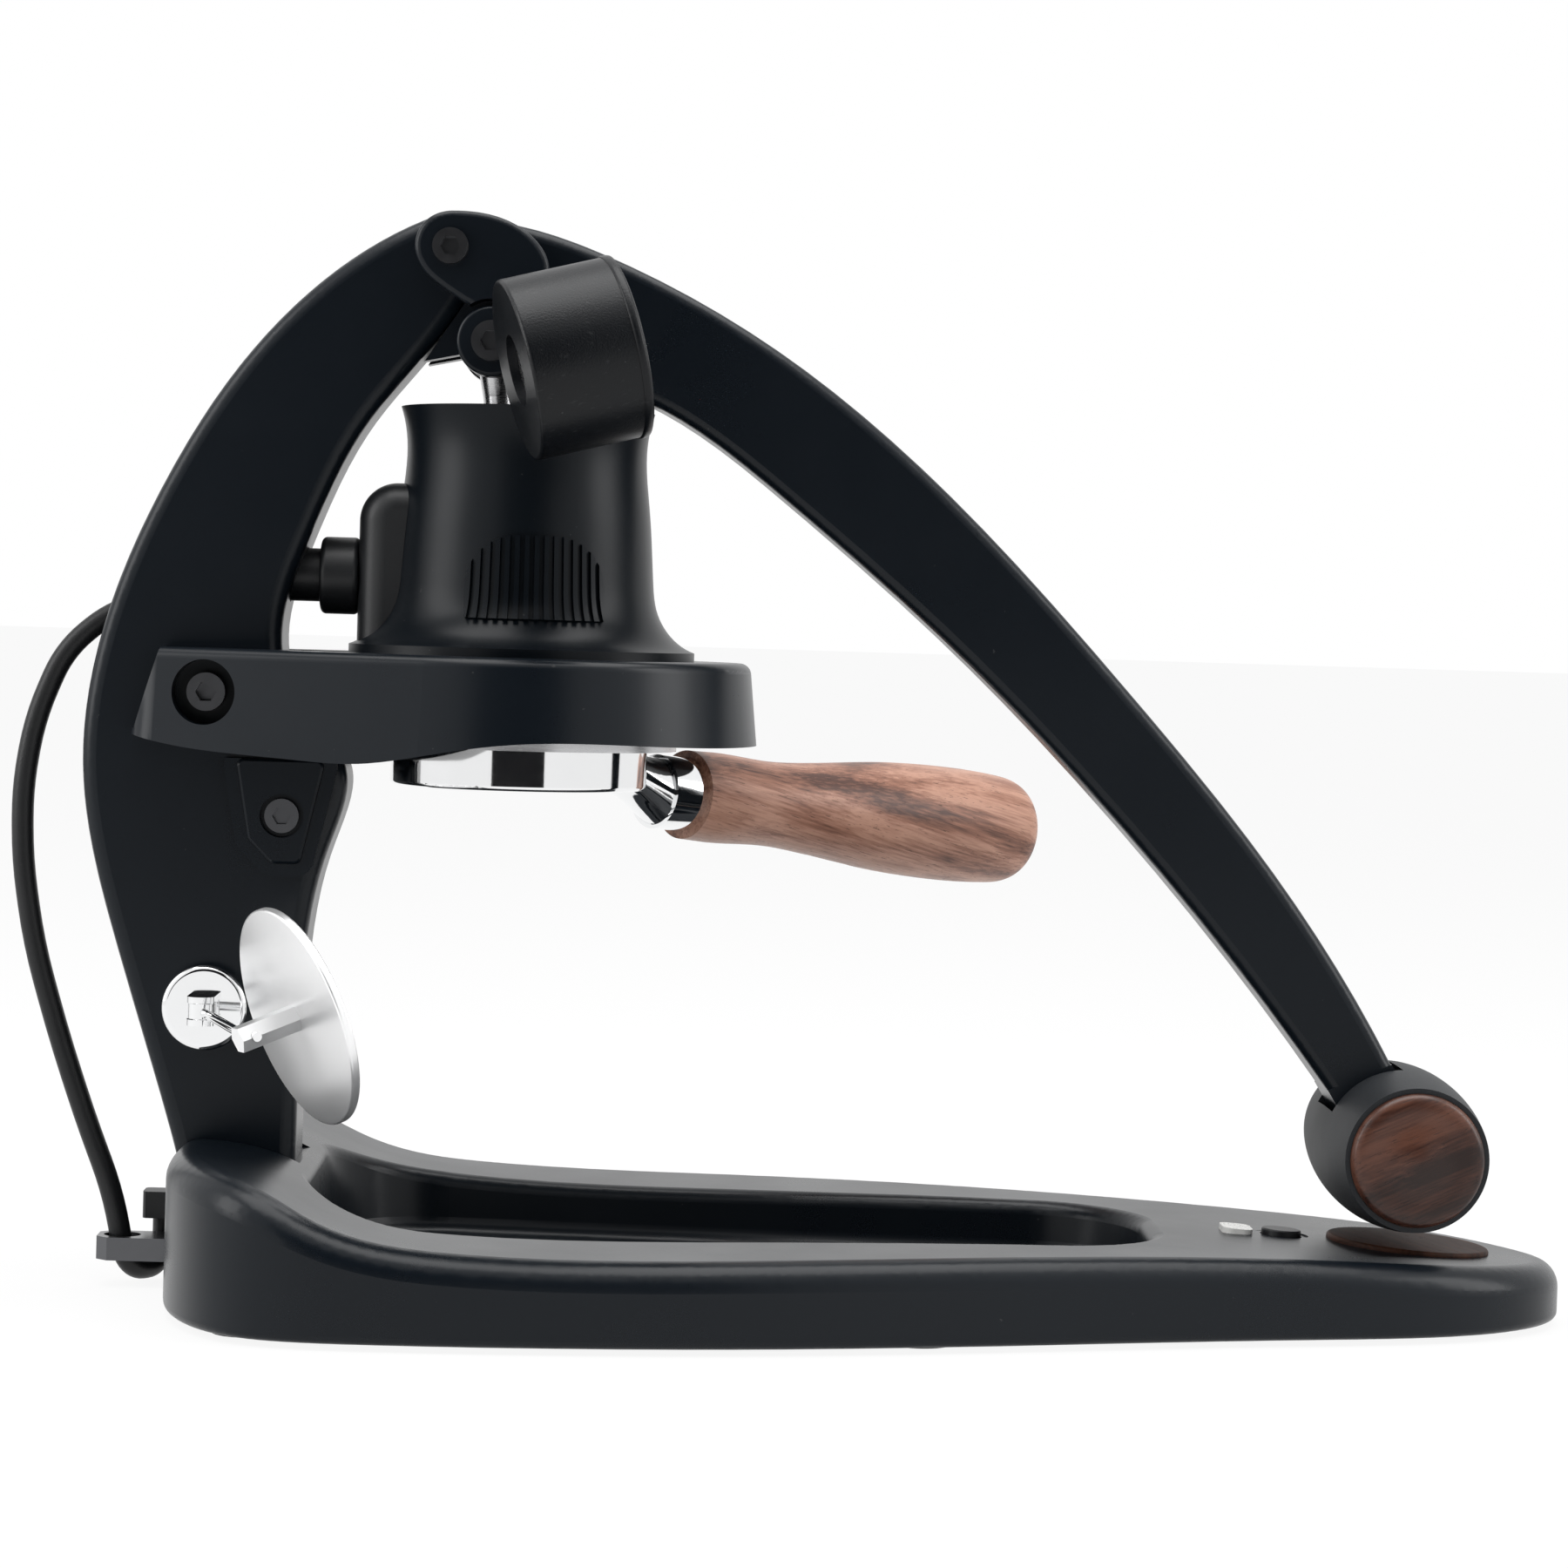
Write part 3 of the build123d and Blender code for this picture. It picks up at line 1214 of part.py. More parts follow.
# Yoke: two cheeks on the lever's lugs, joined by the pin; the near one carries the gauge's port
def yoke_cheek(side):
    """A round cheek on the yoke pin, outside the lever's lug on one side."""
    with BuildPart() as cheek:
        with BuildSketch(side_plane(yoke_x, side * cheek_inner, yoke_z, side)):
            Circle(cheek_radius)
        extrude(amount=cheek_outer - cheek_inner)
        fillet(cheek.edges().filter_by(GeomType.CIRCLE).sort_by(Axis.Y)[0 if side < 0 else -1], radius=cheek_round)
        if side < 0:
            with BuildSketch(Plane.XZ.offset(cheek_inner)):
                with Locations((yoke_x + cheek_arm_x, yoke_z - cheek_arm_drop)):
                    Circle(cheek_arm_radius)
                with Locations((port_end.X, port_end.Z)):
                    Circle(port_boss_radius)
                make_hull()
            extrude(amount=-cheek_inner + cheek_outer)
            with BuildSketch(Plane(origin=port_end, z_dir=port_axis)):
                Circle(nipple_radius + fit_gap)
            extrude(amount=nipple_bite + seat_gap, both=True, mode=Mode.SUBTRACT)
        with BuildSketch(Plane.XZ):
            with Locations((yoke_x, yoke_z)):
                Circle(yoke_pin_radius + fit_gap)
        extrude(amount=overrun, both=True, mode=Mode.SUBTRACT)
    return cheek


yoke_cheek_near = yoke_cheek(-1)
finish(yoke_cheek_near, "yoke_cheek_near")
yoke_cheek_far = yoke_cheek(1)
finish(yoke_cheek_far, "yoke_cheek_far")

with BuildPart() as yoke_pin:
    with BuildSketch(Plane.XZ):
        with Locations((yoke_x, yoke_z)):
            Circle(yoke_pin_radius)
            Circle(yoke_screw_radius + fit_gap, mode=Mode.SUBTRACT)
    extrude(amount=cheek_outer, both=True)
finish(yoke_pin, "yoke_pin")

yoke_seats = [side_plane(yoke_x, side * cheek_outer, yoke_z, side) for side in (-1, 1)]
yoke_screws = hex_screws(yoke_seats, yoke_screw_head_radius, yoke_screw_head, yoke_screw_radius, yoke_screw_length)
finish(yoke_screws, "yoke_screws")

# Plunger stem: eye on the yoke pin, neck and the round foot held loosely in the piston
stem_plane = Plane(origin=(yoke_x, 0, yoke_z), x_dir=stem_axis, z_dir=(0, 1, 0))
with BuildPart() as plunger_stem:
    with BuildSketch(stem_plane):
        with BuildLine():
            Polyline((0, 0), (0, stem_flare), (stem_eye_radius, stem_flare),
                     (stem_eye_radius + stem_flare_length, stem_radius), (stem_length - stem_foot / 2, stem_radius),
                     (stem_length - stem_foot / 2, stem_foot_radius), (stem_length + stem_foot / 2, stem_foot_radius),
                     (stem_length + stem_foot / 2, 0), close=True)
        make_face()
    revolve(axis=Axis((yoke_x, 0, yoke_z), stem_axis))
    with BuildSketch(Plane.XZ):
        with Locations((yoke_x, yoke_z)):
            Circle(stem_eye_radius)
    extrude(amount=stem_eye_half, both=True)
    with BuildSketch(Plane.XZ):
        with Locations((yoke_x, yoke_z)):
            Circle(yoke_pin_radius + fit_gap)
    extrude(amount=overrun, both=True, mode=Mode.SUBTRACT)
finish(plunger_stem, "plunger_stem")

# Gauge: nipple, case in a rubber boot, movement, dial, needle, lens and bezel
with BuildPart() as gauge_nipple:
    with BuildSketch(Plane(origin=gauge.origin + port_axis * (case_radius - case_wall), z_dir=port_axis)):
        Circle(nipple_radius)
    extrude(amount=port_run - case_radius + case_wall + nipple_bite)
finish(gauge_nipple, "gauge_nipple")

port_plane = Plane(origin=gauge.origin, z_dir=port_axis)
with BuildPart() as gauge_boot:
    with BuildSketch(gauge.offset(-boot_length / 2)):
        Circle(boot_radius)
    extrude(amount=boot_length)
    fillet(gauge_boot.edges().filter_by(GeomType.CIRCLE), radius=boot_round)
    with BuildSketch(gauge.offset(boot_wall - boot_length / 2)):
        Circle(case_radius + fit_gap)
    extrude(amount=boot_length - boot_wall - boot_lip, mode=Mode.SUBTRACT)
    with BuildSketch(gauge):
        Circle(boot_lip_radius)
    extrude(amount=boot_length, mode=Mode.SUBTRACT)
    with BuildSketch(gauge):
        Circle(boot_hole_radius)
    extrude(amount=-boot_length, mode=Mode.SUBTRACT)
    with BuildSketch(port_plane):
        Circle(nipple_radius + fit_gap)
    extrude(amount=overrun, mode=Mode.SUBTRACT)
finish(gauge_boot, "gauge_boot")

case_back = boot_wall + fit_gap - boot_length / 2
with BuildPart() as gauge_case:
    with BuildSketch(gauge.offset(case_back)):
        Circle(case_radius)
    extrude(amount=boot_length - boot_wall - boot_lip - 2 * fit_gap)
    with BuildSketch(gauge.offset(case_back + case_wall)):
        Circle(case_radius - case_wall)
    extrude(amount=boot_length, mode=Mode.SUBTRACT)
    with BuildSketch(port_plane):
        Circle(nipple_radius + fit_gap)
    extrude(amount=overrun, mode=Mode.SUBTRACT)
finish(gauge_case, "gauge_case")

dial_back = case_back + case_wall + movement_height
dial_face = dial_back + dial_thick
with BuildPart() as gauge_movement:
    with BuildSketch(gauge.offset(case_back + case_wall)):
        Circle(movement_radius)
    extrude(amount=movement_height)
    with BuildSketch(gauge.offset(dial_back)):
        Circle(spindle_radius)
    extrude(amount=dial_thick + spindle_rise)
finish(gauge_movement, "gauge_movement")

with BuildPart() as gauge_dial:
    with BuildSketch(gauge.offset(dial_back)):
        Circle(dial_radius)
        Circle(spindle_radius + seat_gap, mode=Mode.SUBTRACT)
    extrude(amount=dial_thick)
finish(gauge_dial, "gauge_dial")

with BuildPart() as gauge_needle:
    with BuildSketch(gauge.offset(dial_face + needle_lift)):
        Circle(needle_hub_radius)
        with Locations(around(0, 0, (needle_length - needle_tail) / 2, needle_rest)):
            Rectangle(needle_length + needle_tail, needle_width, rotation=needle_rest)
        Circle(spindle_radius + fit_gap, mode=Mode.SUBTRACT)
    extrude(amount=needle_thick)
finish(gauge_needle, "gauge_needle")

with BuildPart() as gauge_lens:
    with BuildSketch(gauge.offset(dial_face + lens_lift)):
        Circle(case_radius - case_wall - fit_gap)
    extrude(amount=lens_thick)
finish(gauge_lens, "gauge_lens")

with BuildPart() as gauge_bezel:
    with BuildSketch(gauge.offset(dial_face + lens_lift + lens_thick)):
        Circle(case_radius - case_wall - fit_gap)
        Circle(bezel_bore, mode=Mode.SUBTRACT)
    extrude(amount=bezel_height)
finish(gauge_bezel, "gauge_bezel")

# Piston: a hollow cup closed by a cap, so the stem's foot is caught inside, with two seals
piston_radius = cylinder_bore - piston_gap
piston_roof = piston_bottom + piston_height
with BuildPart() as piston:
    with BuildSketch(Plane.XY.offset(piston_bottom)):
        Circle(piston_radius)
    extrude(amount=piston_height)
    with BuildSketch(Plane.XY.offset(piston_bottom + piston_floor)):
        Circle(piston_room)
    extrude(amount=piston_height, mode=Mode.SUBTRACT)
    for rise in seal_rises:
        with BuildSketch(Plane.XY.offset(piston_bottom + rise - seal_section - fit_gap)):
            Circle(cylinder_bore)
            Circle(cylinder_bore - 2 * seal_section - 2 * fit_gap, mode=Mode.SUBTRACT)
        extrude(amount=2 * seal_section + 2 * fit_gap, mode=Mode.SUBTRACT)
finish(piston, "piston")

with BuildPart() as piston_cap:
    with BuildSketch(Plane.XY.offset(piston_roof)):
        Circle(piston_radius)
        Circle(piston_cap_bore, mode=Mode.SUBTRACT)
    extrude(amount=piston_cap_thick)
finish(piston_cap, "piston_cap")

with BuildPart() as piston_seals:
    for rise in seal_rises:
        with BuildSketch(Plane.XZ):
            with Locations((cylinder_bore - fit_gap - seal_section, piston_bottom + rise)):
                Circle(seal_section)
        revolve(axis=Axis.Z)
finish(piston_seals, "piston_seals")

# Portafilter: bottomless ring with two lugs, a neck and a ferrule for the handle
ferrule_plane = Plane(origin=handle_origin + handle_axis * (neck_end - axis_start), x_dir=handle_side, z_dir=handle_axis)
ferrule_length = ferrule_end - neck_end
with BuildPart() as portafilter_body:
    with BuildSketch(Plane.XY.offset(filter_bottom)):
        Circle(filter_radius)
    extrude(amount=filter_top - filter_bottom)
    fillet(portafilter_body.edges().filter_by(GeomType.CIRCLE).sort_by(Axis.Z)[0], radius=filter_round)
    with BuildSketch(Plane(origin=handle_out * neck_start + Vector(0, 0, neck_z), x_dir=handle_side, z_dir=handle_out)):
        RectangleRounded(neck_width, neck_height, neck_round)
    with BuildSketch(ferrule_plane):
        Circle(ferrule_neck_radius)
    loft()
    with BuildSketch(ferrule_plane):
        Circle(ferrule_radius)
    extrude(amount=ferrule_length)
    with BuildSketch(Plane.XY.offset(lug_bottom)):
        Circle(lug_out_radius)
        Rectangle(2 * lug_out_radius, 2 * lug_out_radius * math.sin(math.radians(lug_angle / 2)),
                  rotation=filter_turn + 90, mode=Mode.INTERSECT)
    extrude(amount=lug_height)
    with BuildSketch(Plane.XY.offset(filter_bottom)):
        Circle(filter_bore)
    extrude(amount=overrun, mode=Mode.SUBTRACT)
    with BuildSketch(Plane.XZ):
        with Locations((spring_circle, spring_z)):
            Circle(spring_section + fit_gap)
    revolve(axis=Axis.Z, mode=Mode.SUBTRACT)
    with BuildSketch(ferrule_plane.offset(ferrule_length)):
        Circle(handle_bolt_radius + fit_gap)
    extrude(amount=-handle_bolt_bite, mode=Mode.SUBTRACT)
finish(portafilter_body, "portafilter_body")

with BuildPart() as filter_basket:
    with BuildSketch(Plane.XY.offset(basket_bottom)):
        Circle(basket_radius)
    extrude(amount=filter_top - basket_bottom)
    with BuildSketch(Plane.XY.offset(filter_top)):
        Circle(basket_rim_radius)
    extrude(amount=basket_rim)
    with BuildSketch(Plane.XY.offset(basket_bottom + basket_wall)):
        Circle(basket_radius - basket_wall)
    extrude(amount=overrun, mode=Mode.SUBTRACT)
    with BuildSketch(Plane.XY.offset(basket_bottom)):
        for row in range(1, basket_hole_rows + 1):
            with PolarLocations(row * basket_hole_pitch, 6 * row):
                Circle(basket_hole_radius)
    extrude(amount=basket_wall, mode=Mode.SUBTRACT)
finish(filter_basket, "filter_basket")

with BuildPart() as basket_spring:
    with BuildSketch(Plane.XZ):
        with Locations((spring_circle, spring_z)):
            Circle(spring_section)
    revolve(axis=Axis.Z, revolution_arc=spring_arc)
finish(basket_spring, "basket_spring")

# Turned wooden handle on its bolt
handle_start = ferrule_end - axis_start
with BuildPart() as portafilter_handle:
    with BuildSketch(handle_plane):
        with BuildLine():
            handle_side_line = Spline(*[(handle_start + s * handle_length, r * handle_end_radius) for s, r in handle_shares],
                                      (handle_start + handle_length, handle_end_share * handle_end_radius),
                                      tangents=((1, 0), (0, -1)))
            Polyline(handle_side_line @ 1, (handle_start + handle_length, 0), (handle_start, 0), handle_side_line @ 0)
        make_face()
    revolve(axis=Axis(handle_origin, handle_axis))
    with BuildSketch(ferrule_plane.offset(ferrule_length)):
        Circle(handle_bolt_radius + fit_gap)
    extrude(amount=handle_bolt_reach + seat_gap, mode=Mode.SUBTRACT)
finish(portafilter_handle, "portafilter_handle")

with BuildPart() as handle_bolt:
    with BuildSketch(ferrule_plane.offset(ferrule_length - handle_bolt_bite)):
        Circle(handle_bolt_radius)
    extrude(amount=handle_bolt_bite + handle_bolt_reach)
finish(handle_bolt, "handle_bolt")

# Mirror: magnet with a fork, link on the fork's pin, disc on a stud with its glass
fork_half = fork_gap / 2 + fork_leaf
with BuildPart() as mirror_magnet:
    with BuildSketch(side_plane(mirror_x, -post_half - fit_gap, mirror_z, -1)):
        Circle(magnet_radius)
    extrude(amount=magnet_thick)
    fillet(mirror_magnet.edges().filter_by(GeomType.CIRCLE).sort_by(Axis.Y)[0], radius=magnet_round)
    with BuildSketch(Plane.XY.offset(mirror_z)):
        with Locations((mirror_x, (fork_pin_y - post_half - magnet_thick) / 2)):
            Rectangle(fork_width, -post_half - magnet_thick - fork_pin_y)
        with Locations((mirror_x, fork_pin_y)):
            Circle(fork_width / 2)
    extrude(amount=fork_half, both=True)
    with BuildSketch(Plane.XY.offset(mirror_z)):
        with Locations((mirror_x, fork_pin_y)):
            Rectangle(2 * fork_width, 2 * fork_pin_reach - 2 * fork_root)
    extrude(amount=fork_gap / 2, both=True, mode=Mode.SUBTRACT)
    with BuildSketch(Plane.XY.offset(mirror_z)):
        with Locations((mirror_x, fork_pin_y)):
            Circle(fork_pin_radius + fit_gap)
    extrude(amount=fork_half, both=True, mode=Mode.SUBTRACT)
finish(mirror_magnet, "mirror_magnet")

fork_centre = Vector(mirror_x, fork_pin_y, mirror_z)
link_tip = mirror_joint - mirror_nod_axis * link_tail
link_bend = mirror_joint + mirror_nod_axis * link_elbow
with BuildPart() as mirror_link:
    with BuildLine() as link_path:
        Polyline(link_tip, link_bend, fork_centre)
    with BuildSketch(Plane(origin=link_tip, z_dir=mirror_nod_axis)):
        Circle(link_radius)
    sweep(path=link_path.line, transition=Transition.ROUND)
    with BuildSketch(Plane.XY.offset(mirror_z)):
        with Locations((mirror_x, fork_pin_y)):
            Circle(link_eye_radius)
    extrude(amount=fork_gap / 2 - link_gap, both=True)
    with BuildSketch(Plane.XY.offset(mirror_z)):
        with Locations((mirror_x, fork_pin_y)):
            Circle(fork_pin_radius)
    extrude(amount=fork_half, both=True)
finish(mirror_link, "mirror_link")

stud_plane = Plane(origin=mirror_joint, x_dir=mirror_nod_axis, z_dir=mirror_normal)
with BuildPart() as mirror_disc:
    with BuildSketch(stud_plane.offset(stud_length)):
        Circle(mirror_radius)
    extrude(amount=mirror_thick)
    fillet(mirror_disc.edges().filter_by(GeomType.CIRCLE), radius=mirror_round)
    with BuildSketch(stud_plane.offset(-stud_end)):
        RegularPolygon(stud_radius, 6)
    extrude(amount=stud_end + stud_length)
    with BuildSketch(stud_plane.offset(stud_length + mirror_thick - glass_thick)):
        Circle(glass_radius + fit_gap)
    extrude(amount=overrun, mode=Mode.SUBTRACT)
    with BuildSketch(Plane(origin=mirror_joint, z_dir=mirror_nod_axis)):
        Circle(link_radius + fit_gap)
    extrude(amount=overrun / 2, both=True, mode=Mode.SUBTRACT)
finish(mirror_disc, "mirror_disc")

with BuildPart() as mirror_glass:
    with BuildSketch(stud_plane.offset(stud_length + mirror_thick - glass_thick)):
        Circle(glass_radius)
    extrude(amount=glass_thick)
finish(mirror_glass, "mirror_glass")
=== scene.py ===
import math
import bmesh
import bpy
from mathutils import Matrix, Vector


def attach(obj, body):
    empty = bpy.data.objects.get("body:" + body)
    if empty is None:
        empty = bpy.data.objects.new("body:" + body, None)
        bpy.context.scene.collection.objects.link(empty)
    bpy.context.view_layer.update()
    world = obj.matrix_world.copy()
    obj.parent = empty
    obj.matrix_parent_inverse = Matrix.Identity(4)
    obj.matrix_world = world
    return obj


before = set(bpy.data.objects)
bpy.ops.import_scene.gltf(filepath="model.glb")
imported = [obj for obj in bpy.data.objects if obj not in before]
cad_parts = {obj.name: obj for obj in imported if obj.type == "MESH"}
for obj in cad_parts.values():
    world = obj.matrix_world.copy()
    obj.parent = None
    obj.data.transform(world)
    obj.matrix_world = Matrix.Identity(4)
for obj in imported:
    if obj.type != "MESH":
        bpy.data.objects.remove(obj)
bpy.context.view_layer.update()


# Shader maths written as expressions
texture_middle = 0.5
mix_first, mix_second, mix_result = 6, 7, 2


class Value:
    """One output socket, with the operators that the finishes use."""

    def __init__(self, make, socket):
        self.make = make
        self.socket = socket

    def math(self, operation, *others):
        return self.make("ShaderNodeMath", {"operation": operation}, dict(enumerate([self, *others])))

    def __add__(self, other):
        return self.math("ADD", other)

    def __radd__(self, other):
        return self.math("ADD", other)

    def __sub__(self, other):
        return self.math("SUBTRACT", other)

    def __mul__(self, other):
        return self.math("MULTIPLY", other)

    def above(self, level):
        return self.math("GREATER_THAN", level)

    def swing(self, amount):
        """A texture's value, turned into a change about zero."""
        return (self - texture_middle) * amount

    def clamped(self):
        return self.make("ShaderNodeClamp", {}, {"Value": self})

    def part(self, name):
        return Value(self.make, self.socket.node.outputs[name])


class Shader:
    """A node tree whose nodes are made through one method."""

    def __init__(self, tree):
        self.tree = tree

    def node(self, kind, settings, inputs):
        made = self.tree.nodes.new(kind)
        for name, value in settings.items():
            if name == "stops":
                ramp = made.color_ramp
                while len(ramp.elements) < len(value):
                    ramp.elements.new(texture_middle)
                for element, (place, colour) in zip(ramp.elements, value):
                    element.position = place
                    element.color = (*colour, 1.0)
            else:
                setattr(made, name, value)
        for name, value in inputs.items():
            if isinstance(value, Value):
                self.tree.links.new(value.socket, made.inputs[name])
            else:
                made.inputs[name].default_value = value
        return Value(self.node, made.outputs[0])

    def seen(self):
        """1 for what the camera sees, straight, mirrored or through glass, and 0 for light that spreads."""
        rays = self.node("ShaderNodeLightPath", {}, {})
        shown = rays.part("Is Camera Ray").math("MAXIMUM", rays.part("Is Glossy Ray"))
        return shown.math("MAXIMUM", rays.part("Is Transmission Ray"))


class Finish(Shader):
    """A material, with the textures and mixes that the finishes share."""

    def __init__(self, name, **constants):
        self.material = bpy.data.materials.new(name)
        self.material.use_nodes = True
        super().__init__(self.material.node_tree)
        self.surface = self.tree.nodes["Principled BSDF"]
        for socket, value in constants.items():
            self.surface.inputs[socket.replace("_", " ")].default_value = value

    def place(self, rotation=(0, 0, 0), scale=(1, 1, 1), location=(0, 0, 0)):
        coordinates = self.node("ShaderNodeTexCoord", {}, {}).part("Object")
        return self.node("ShaderNodeMapping", {}, {"Vector": coordinates, "Rotation": rotation,
                                                   "Scale": scale, "Location": location})

    def stretched(self, place, length, cross):
        return self.node("ShaderNodeVectorMath", {"operation": "MULTIPLY"}, {0: place, 1: (length, cross, cross)})

    def noise(self, place, scale=1.0, detail=4.0, roughness=0.55):
        return self.node("ShaderNodeTexNoise", {}, {"Vector": place, "Scale": scale, "Detail": detail,
                                                    "Roughness": roughness}).part("Fac")

    def ramp(self, value, *stops):
        return self.node("ShaderNodeValToRGB", {"stops": stops}, {"Fac": value})

    def mix(self, share, first, second):
        made = self.node("ShaderNodeMix", {"data_type": "RGBA"},
                         {"Factor": share, mix_first: first, mix_second: second})
        return Value(self.node, made.socket.node.outputs[mix_result])

    def tint(self, share, first, second):
        return self.mix(share, (*first, 1), (*second, 1))

    def feed(self, **links):
        for socket, value in links.items():
            self.tree.links.new(value.socket, self.surface.inputs[socket.replace("_", " ")])

    def bump(self, height, strength, distance):
        return self.node("ShaderNodeBump", {}, {"Height": height, "Strength": strength,
                                                "Distance": distance})


def satin_coat(name, colour, pale, rough, peel, shine):
    """Satin powder coat: fine peel, faint cloudiness and a trace of dust."""
    dust_level, dust_share, dust_colour = 0.745, 0.25, (0.09, 0.09, 0.09, 1)
    cloud_rough, grain_rough = 0.14, 0.03
    coat = Finish(name, Specular_IOR_Level=shine)
    place = coat.place()
    cloud = coat.noise(place, scale=18.0)
    grain = coat.noise(place, scale=1500.0, detail=2.0)
    dust = coat.noise(place, scale=420.0, detail=3.0).above(dust_level)
    coat.feed(Base_Color=coat.mix(dust * dust_share, coat.tint(cloud, colour, pale), dust_colour),
              Roughness=rough + cloud.swing(cloud_rough) + grain.swing(grain_rough),
              Normal=coat.bump(grain, strength=0.05, distance=peel))
    return coat.material


def soft_rubber(name, colour, pale, rough, dust, shine):
    """Soft-touch rubber: matt, slightly dusty, with fine rubbed marks."""
    mark_level, mark_gain = 0.62, 4.0
    speck_level, speck_share, worn_colour = 0.72, 0.8, (0.20, 0.205, 0.21, 1)
    cloud_rough, cloud_height = 0.2, 0.6
    rubber = Finish(name, Specular_IOR_Level=shine)
    place = rubber.place()
    cloud = rubber.noise(place, scale=26.0, detail=6.0)
    grain = rubber.noise(place, scale=2200.0, detail=2.0)
    across = rubber.place(scale=(60, 420, 160), rotation=(0.3, 0.2, 0.5))
    marks = (rubber.noise(across, scale=4.0, detail=5.0) - mark_level).clamped() * mark_gain
    specks = rubber.noise(place, scale=520.0, detail=3.0).above(speck_level)
    worn = (marks * dust + specks * dust * speck_share).clamped()
    rubber.feed(Base_Color=rubber.mix(worn, rubber.tint(cloud, colour, pale), worn_colour),
                Roughness=rough + cloud.swing(cloud_rough),
                Normal=rubber.bump(grain + cloud * cloud_height, strength=0.3, distance=0.0002))
    return rubber.material


def metal(name, colour, rough, brush, spread, share=1.0):
    """Metal with a faint brushed or polished unevenness."""
    dull_share, dull_tone, cloud_rough = 0.5, 0.86, 0.6
    plate = Finish(name, Metallic=share)
    cloud = plate.noise(plate.place(), scale=40.0)
    lines = plate.noise(plate.place(scale=brush), detail=3.0)
    plate.feed(Base_Color=plate.tint(cloud * dull_share, colour, [c * dull_tone for c in colour]),
               Roughness=rough + lines.swing(spread) + cloud.swing(spread) * cloud_rough,
               Normal=plate.bump(lines, strength=0.05, distance=0.00005))
    return plate.material


def plastic(name, colour, pale, rough, grain_scale):
    """Moulded plastic with a fine spark texture."""
    grain_rough = 0.12
    moulded = Finish(name, Specular_IOR_Level=0.4)
    place = moulded.place()
    cloud = moulded.noise(place, scale=30.0)
    grain = moulded.noise(place, scale=grain_scale, detail=2.0)
    moulded.feed(Base_Color=moulded.tint(cloud, colour, pale), Roughness=rough + grain.swing(grain_rough),
                 Normal=moulded.bump(grain, strength=0.2, distance=0.00012))
    return moulded.material


def walnut(name, turn, shift, pale, middle, dark, rough, shine, figure):
    """Oiled walnut: long streaks, darker bands and short pores along the grain."""
    flow_share, band_share, fibre_share, tone_drop = 0.55, 0.6, 0.25, 0.08
    pore_level, pore_share, pore_tone = 0.66, 0.55, 0.35
    fibre_rough, pore_rough, fibre_height = 0.15, 0.12, 0.4
    wood = Finish(name, Specular_IOR_Level=shine)
    along = wood.place(rotation=[math.radians(angle) for angle in turn], location=shift)
    flow = wood.noise(wood.stretched(along, length=9.0, cross=95.0 * figure), detail=3.0)
    bands = wood.noise(wood.stretched(along, length=14.0, cross=210.0 * figure), detail=6.0, roughness=0.62)
    fibres = wood.noise(wood.stretched(along, length=60.0, cross=1500.0), detail=3.0)
    pores = wood.noise(wood.stretched(along, length=170.0, cross=2600.0), detail=2.0).above(pore_level)
    tone = (flow * flow_share + bands * band_share + fibres.swing(fibre_share) - tone_drop).clamped()
    colour = wood.ramp(tone, (0.37, dark), (0.47, middle), (0.57, pale), (0.72, middle))
    wood.feed(Base_Color=wood.mix(pores * pore_share, colour, (*[c * pore_tone for c in dark], 1)),
              Roughness=rough + fibres.swing(fibre_rough) + pores * pore_rough,
              Normal=wood.bump(fibres * fibre_height - pores, strength=0.25, distance=0.0001))
    return wood.material


def glass(name, colour, bend):
    """Clear glass with the faintest haze."""
    haze = 0.04
    clear = Finish(name, Transmission_Weight=1.0, IOR=bend, Base_Color=(*colour, 1))
    clear.feed(Roughness=clear.noise(clear.place(), scale=60.0) * haze)
    return clear.material


coat_black = satin_coat("satin_black_coat", (0.0030, 0.0050, 0.0078), (0.0044, 0.0068, 0.0100),
                        rough=0.29, peel=0.00003, shine=0.23)
sleeve_black = satin_coat("sleeve_black", (0.0016, 0.0030, 0.0048), (0.0028, 0.0046, 0.0068),
                          rough=0.33, peel=0.00004, shine=0.17)
boot_rubber = soft_rubber("gauge_boot_rubber", (0.0012, 0.0018, 0.0028), (0.0028, 0.0038, 0.0054),
                          rough=0.33, dust=0.14, shine=0.26)
grip_rubber = soft_rubber("grip_rubber", (0.0085, 0.0100, 0.0122), (0.0135, 0.0155, 0.0180),
                          rough=0.58, dust=0.07, shine=0.3)
foot_rubber = soft_rubber("foot_rubber", (0.014, 0.014, 0.015), (0.022, 0.022, 0.023),
                          rough=0.75, dust=0.1, shine=0.3)
jacket = soft_rubber("cable_jacket", (0.0052, 0.0056, 0.0064), (0.0085, 0.0088, 0.0096),
                     rough=0.38, dust=0.02, shine=0.3)
seal = soft_rubber("seal_silicone", (0.10, 0.030, 0.022), (0.13, 0.045, 0.03),
                   rough=0.55, dust=0.03, shine=0.4)
screw_black = metal("black_oxide", (0.125, 0.127, 0.134), rough=0.30, brush=(300, 300, 300), spread=0.12)
chrome = metal("chrome_plate", (0.90, 0.905, 0.91), rough=0.06, brush=(120, 120, 500), spread=0.05)
stainless = metal("stainless", (0.60, 0.60, 0.61), rough=0.27, brush=(90, 90, 2600), spread=0.16)
bronze = metal("bronze", (0.60, 0.42, 0.20), rough=0.38, brush=(400, 400, 400), spread=0.1)
disc_back = metal("satin_nickel", (0.96, 0.962, 0.965), rough=0.30, brush=(90, 90, 90), spread=0.1,
                  share=0.8)
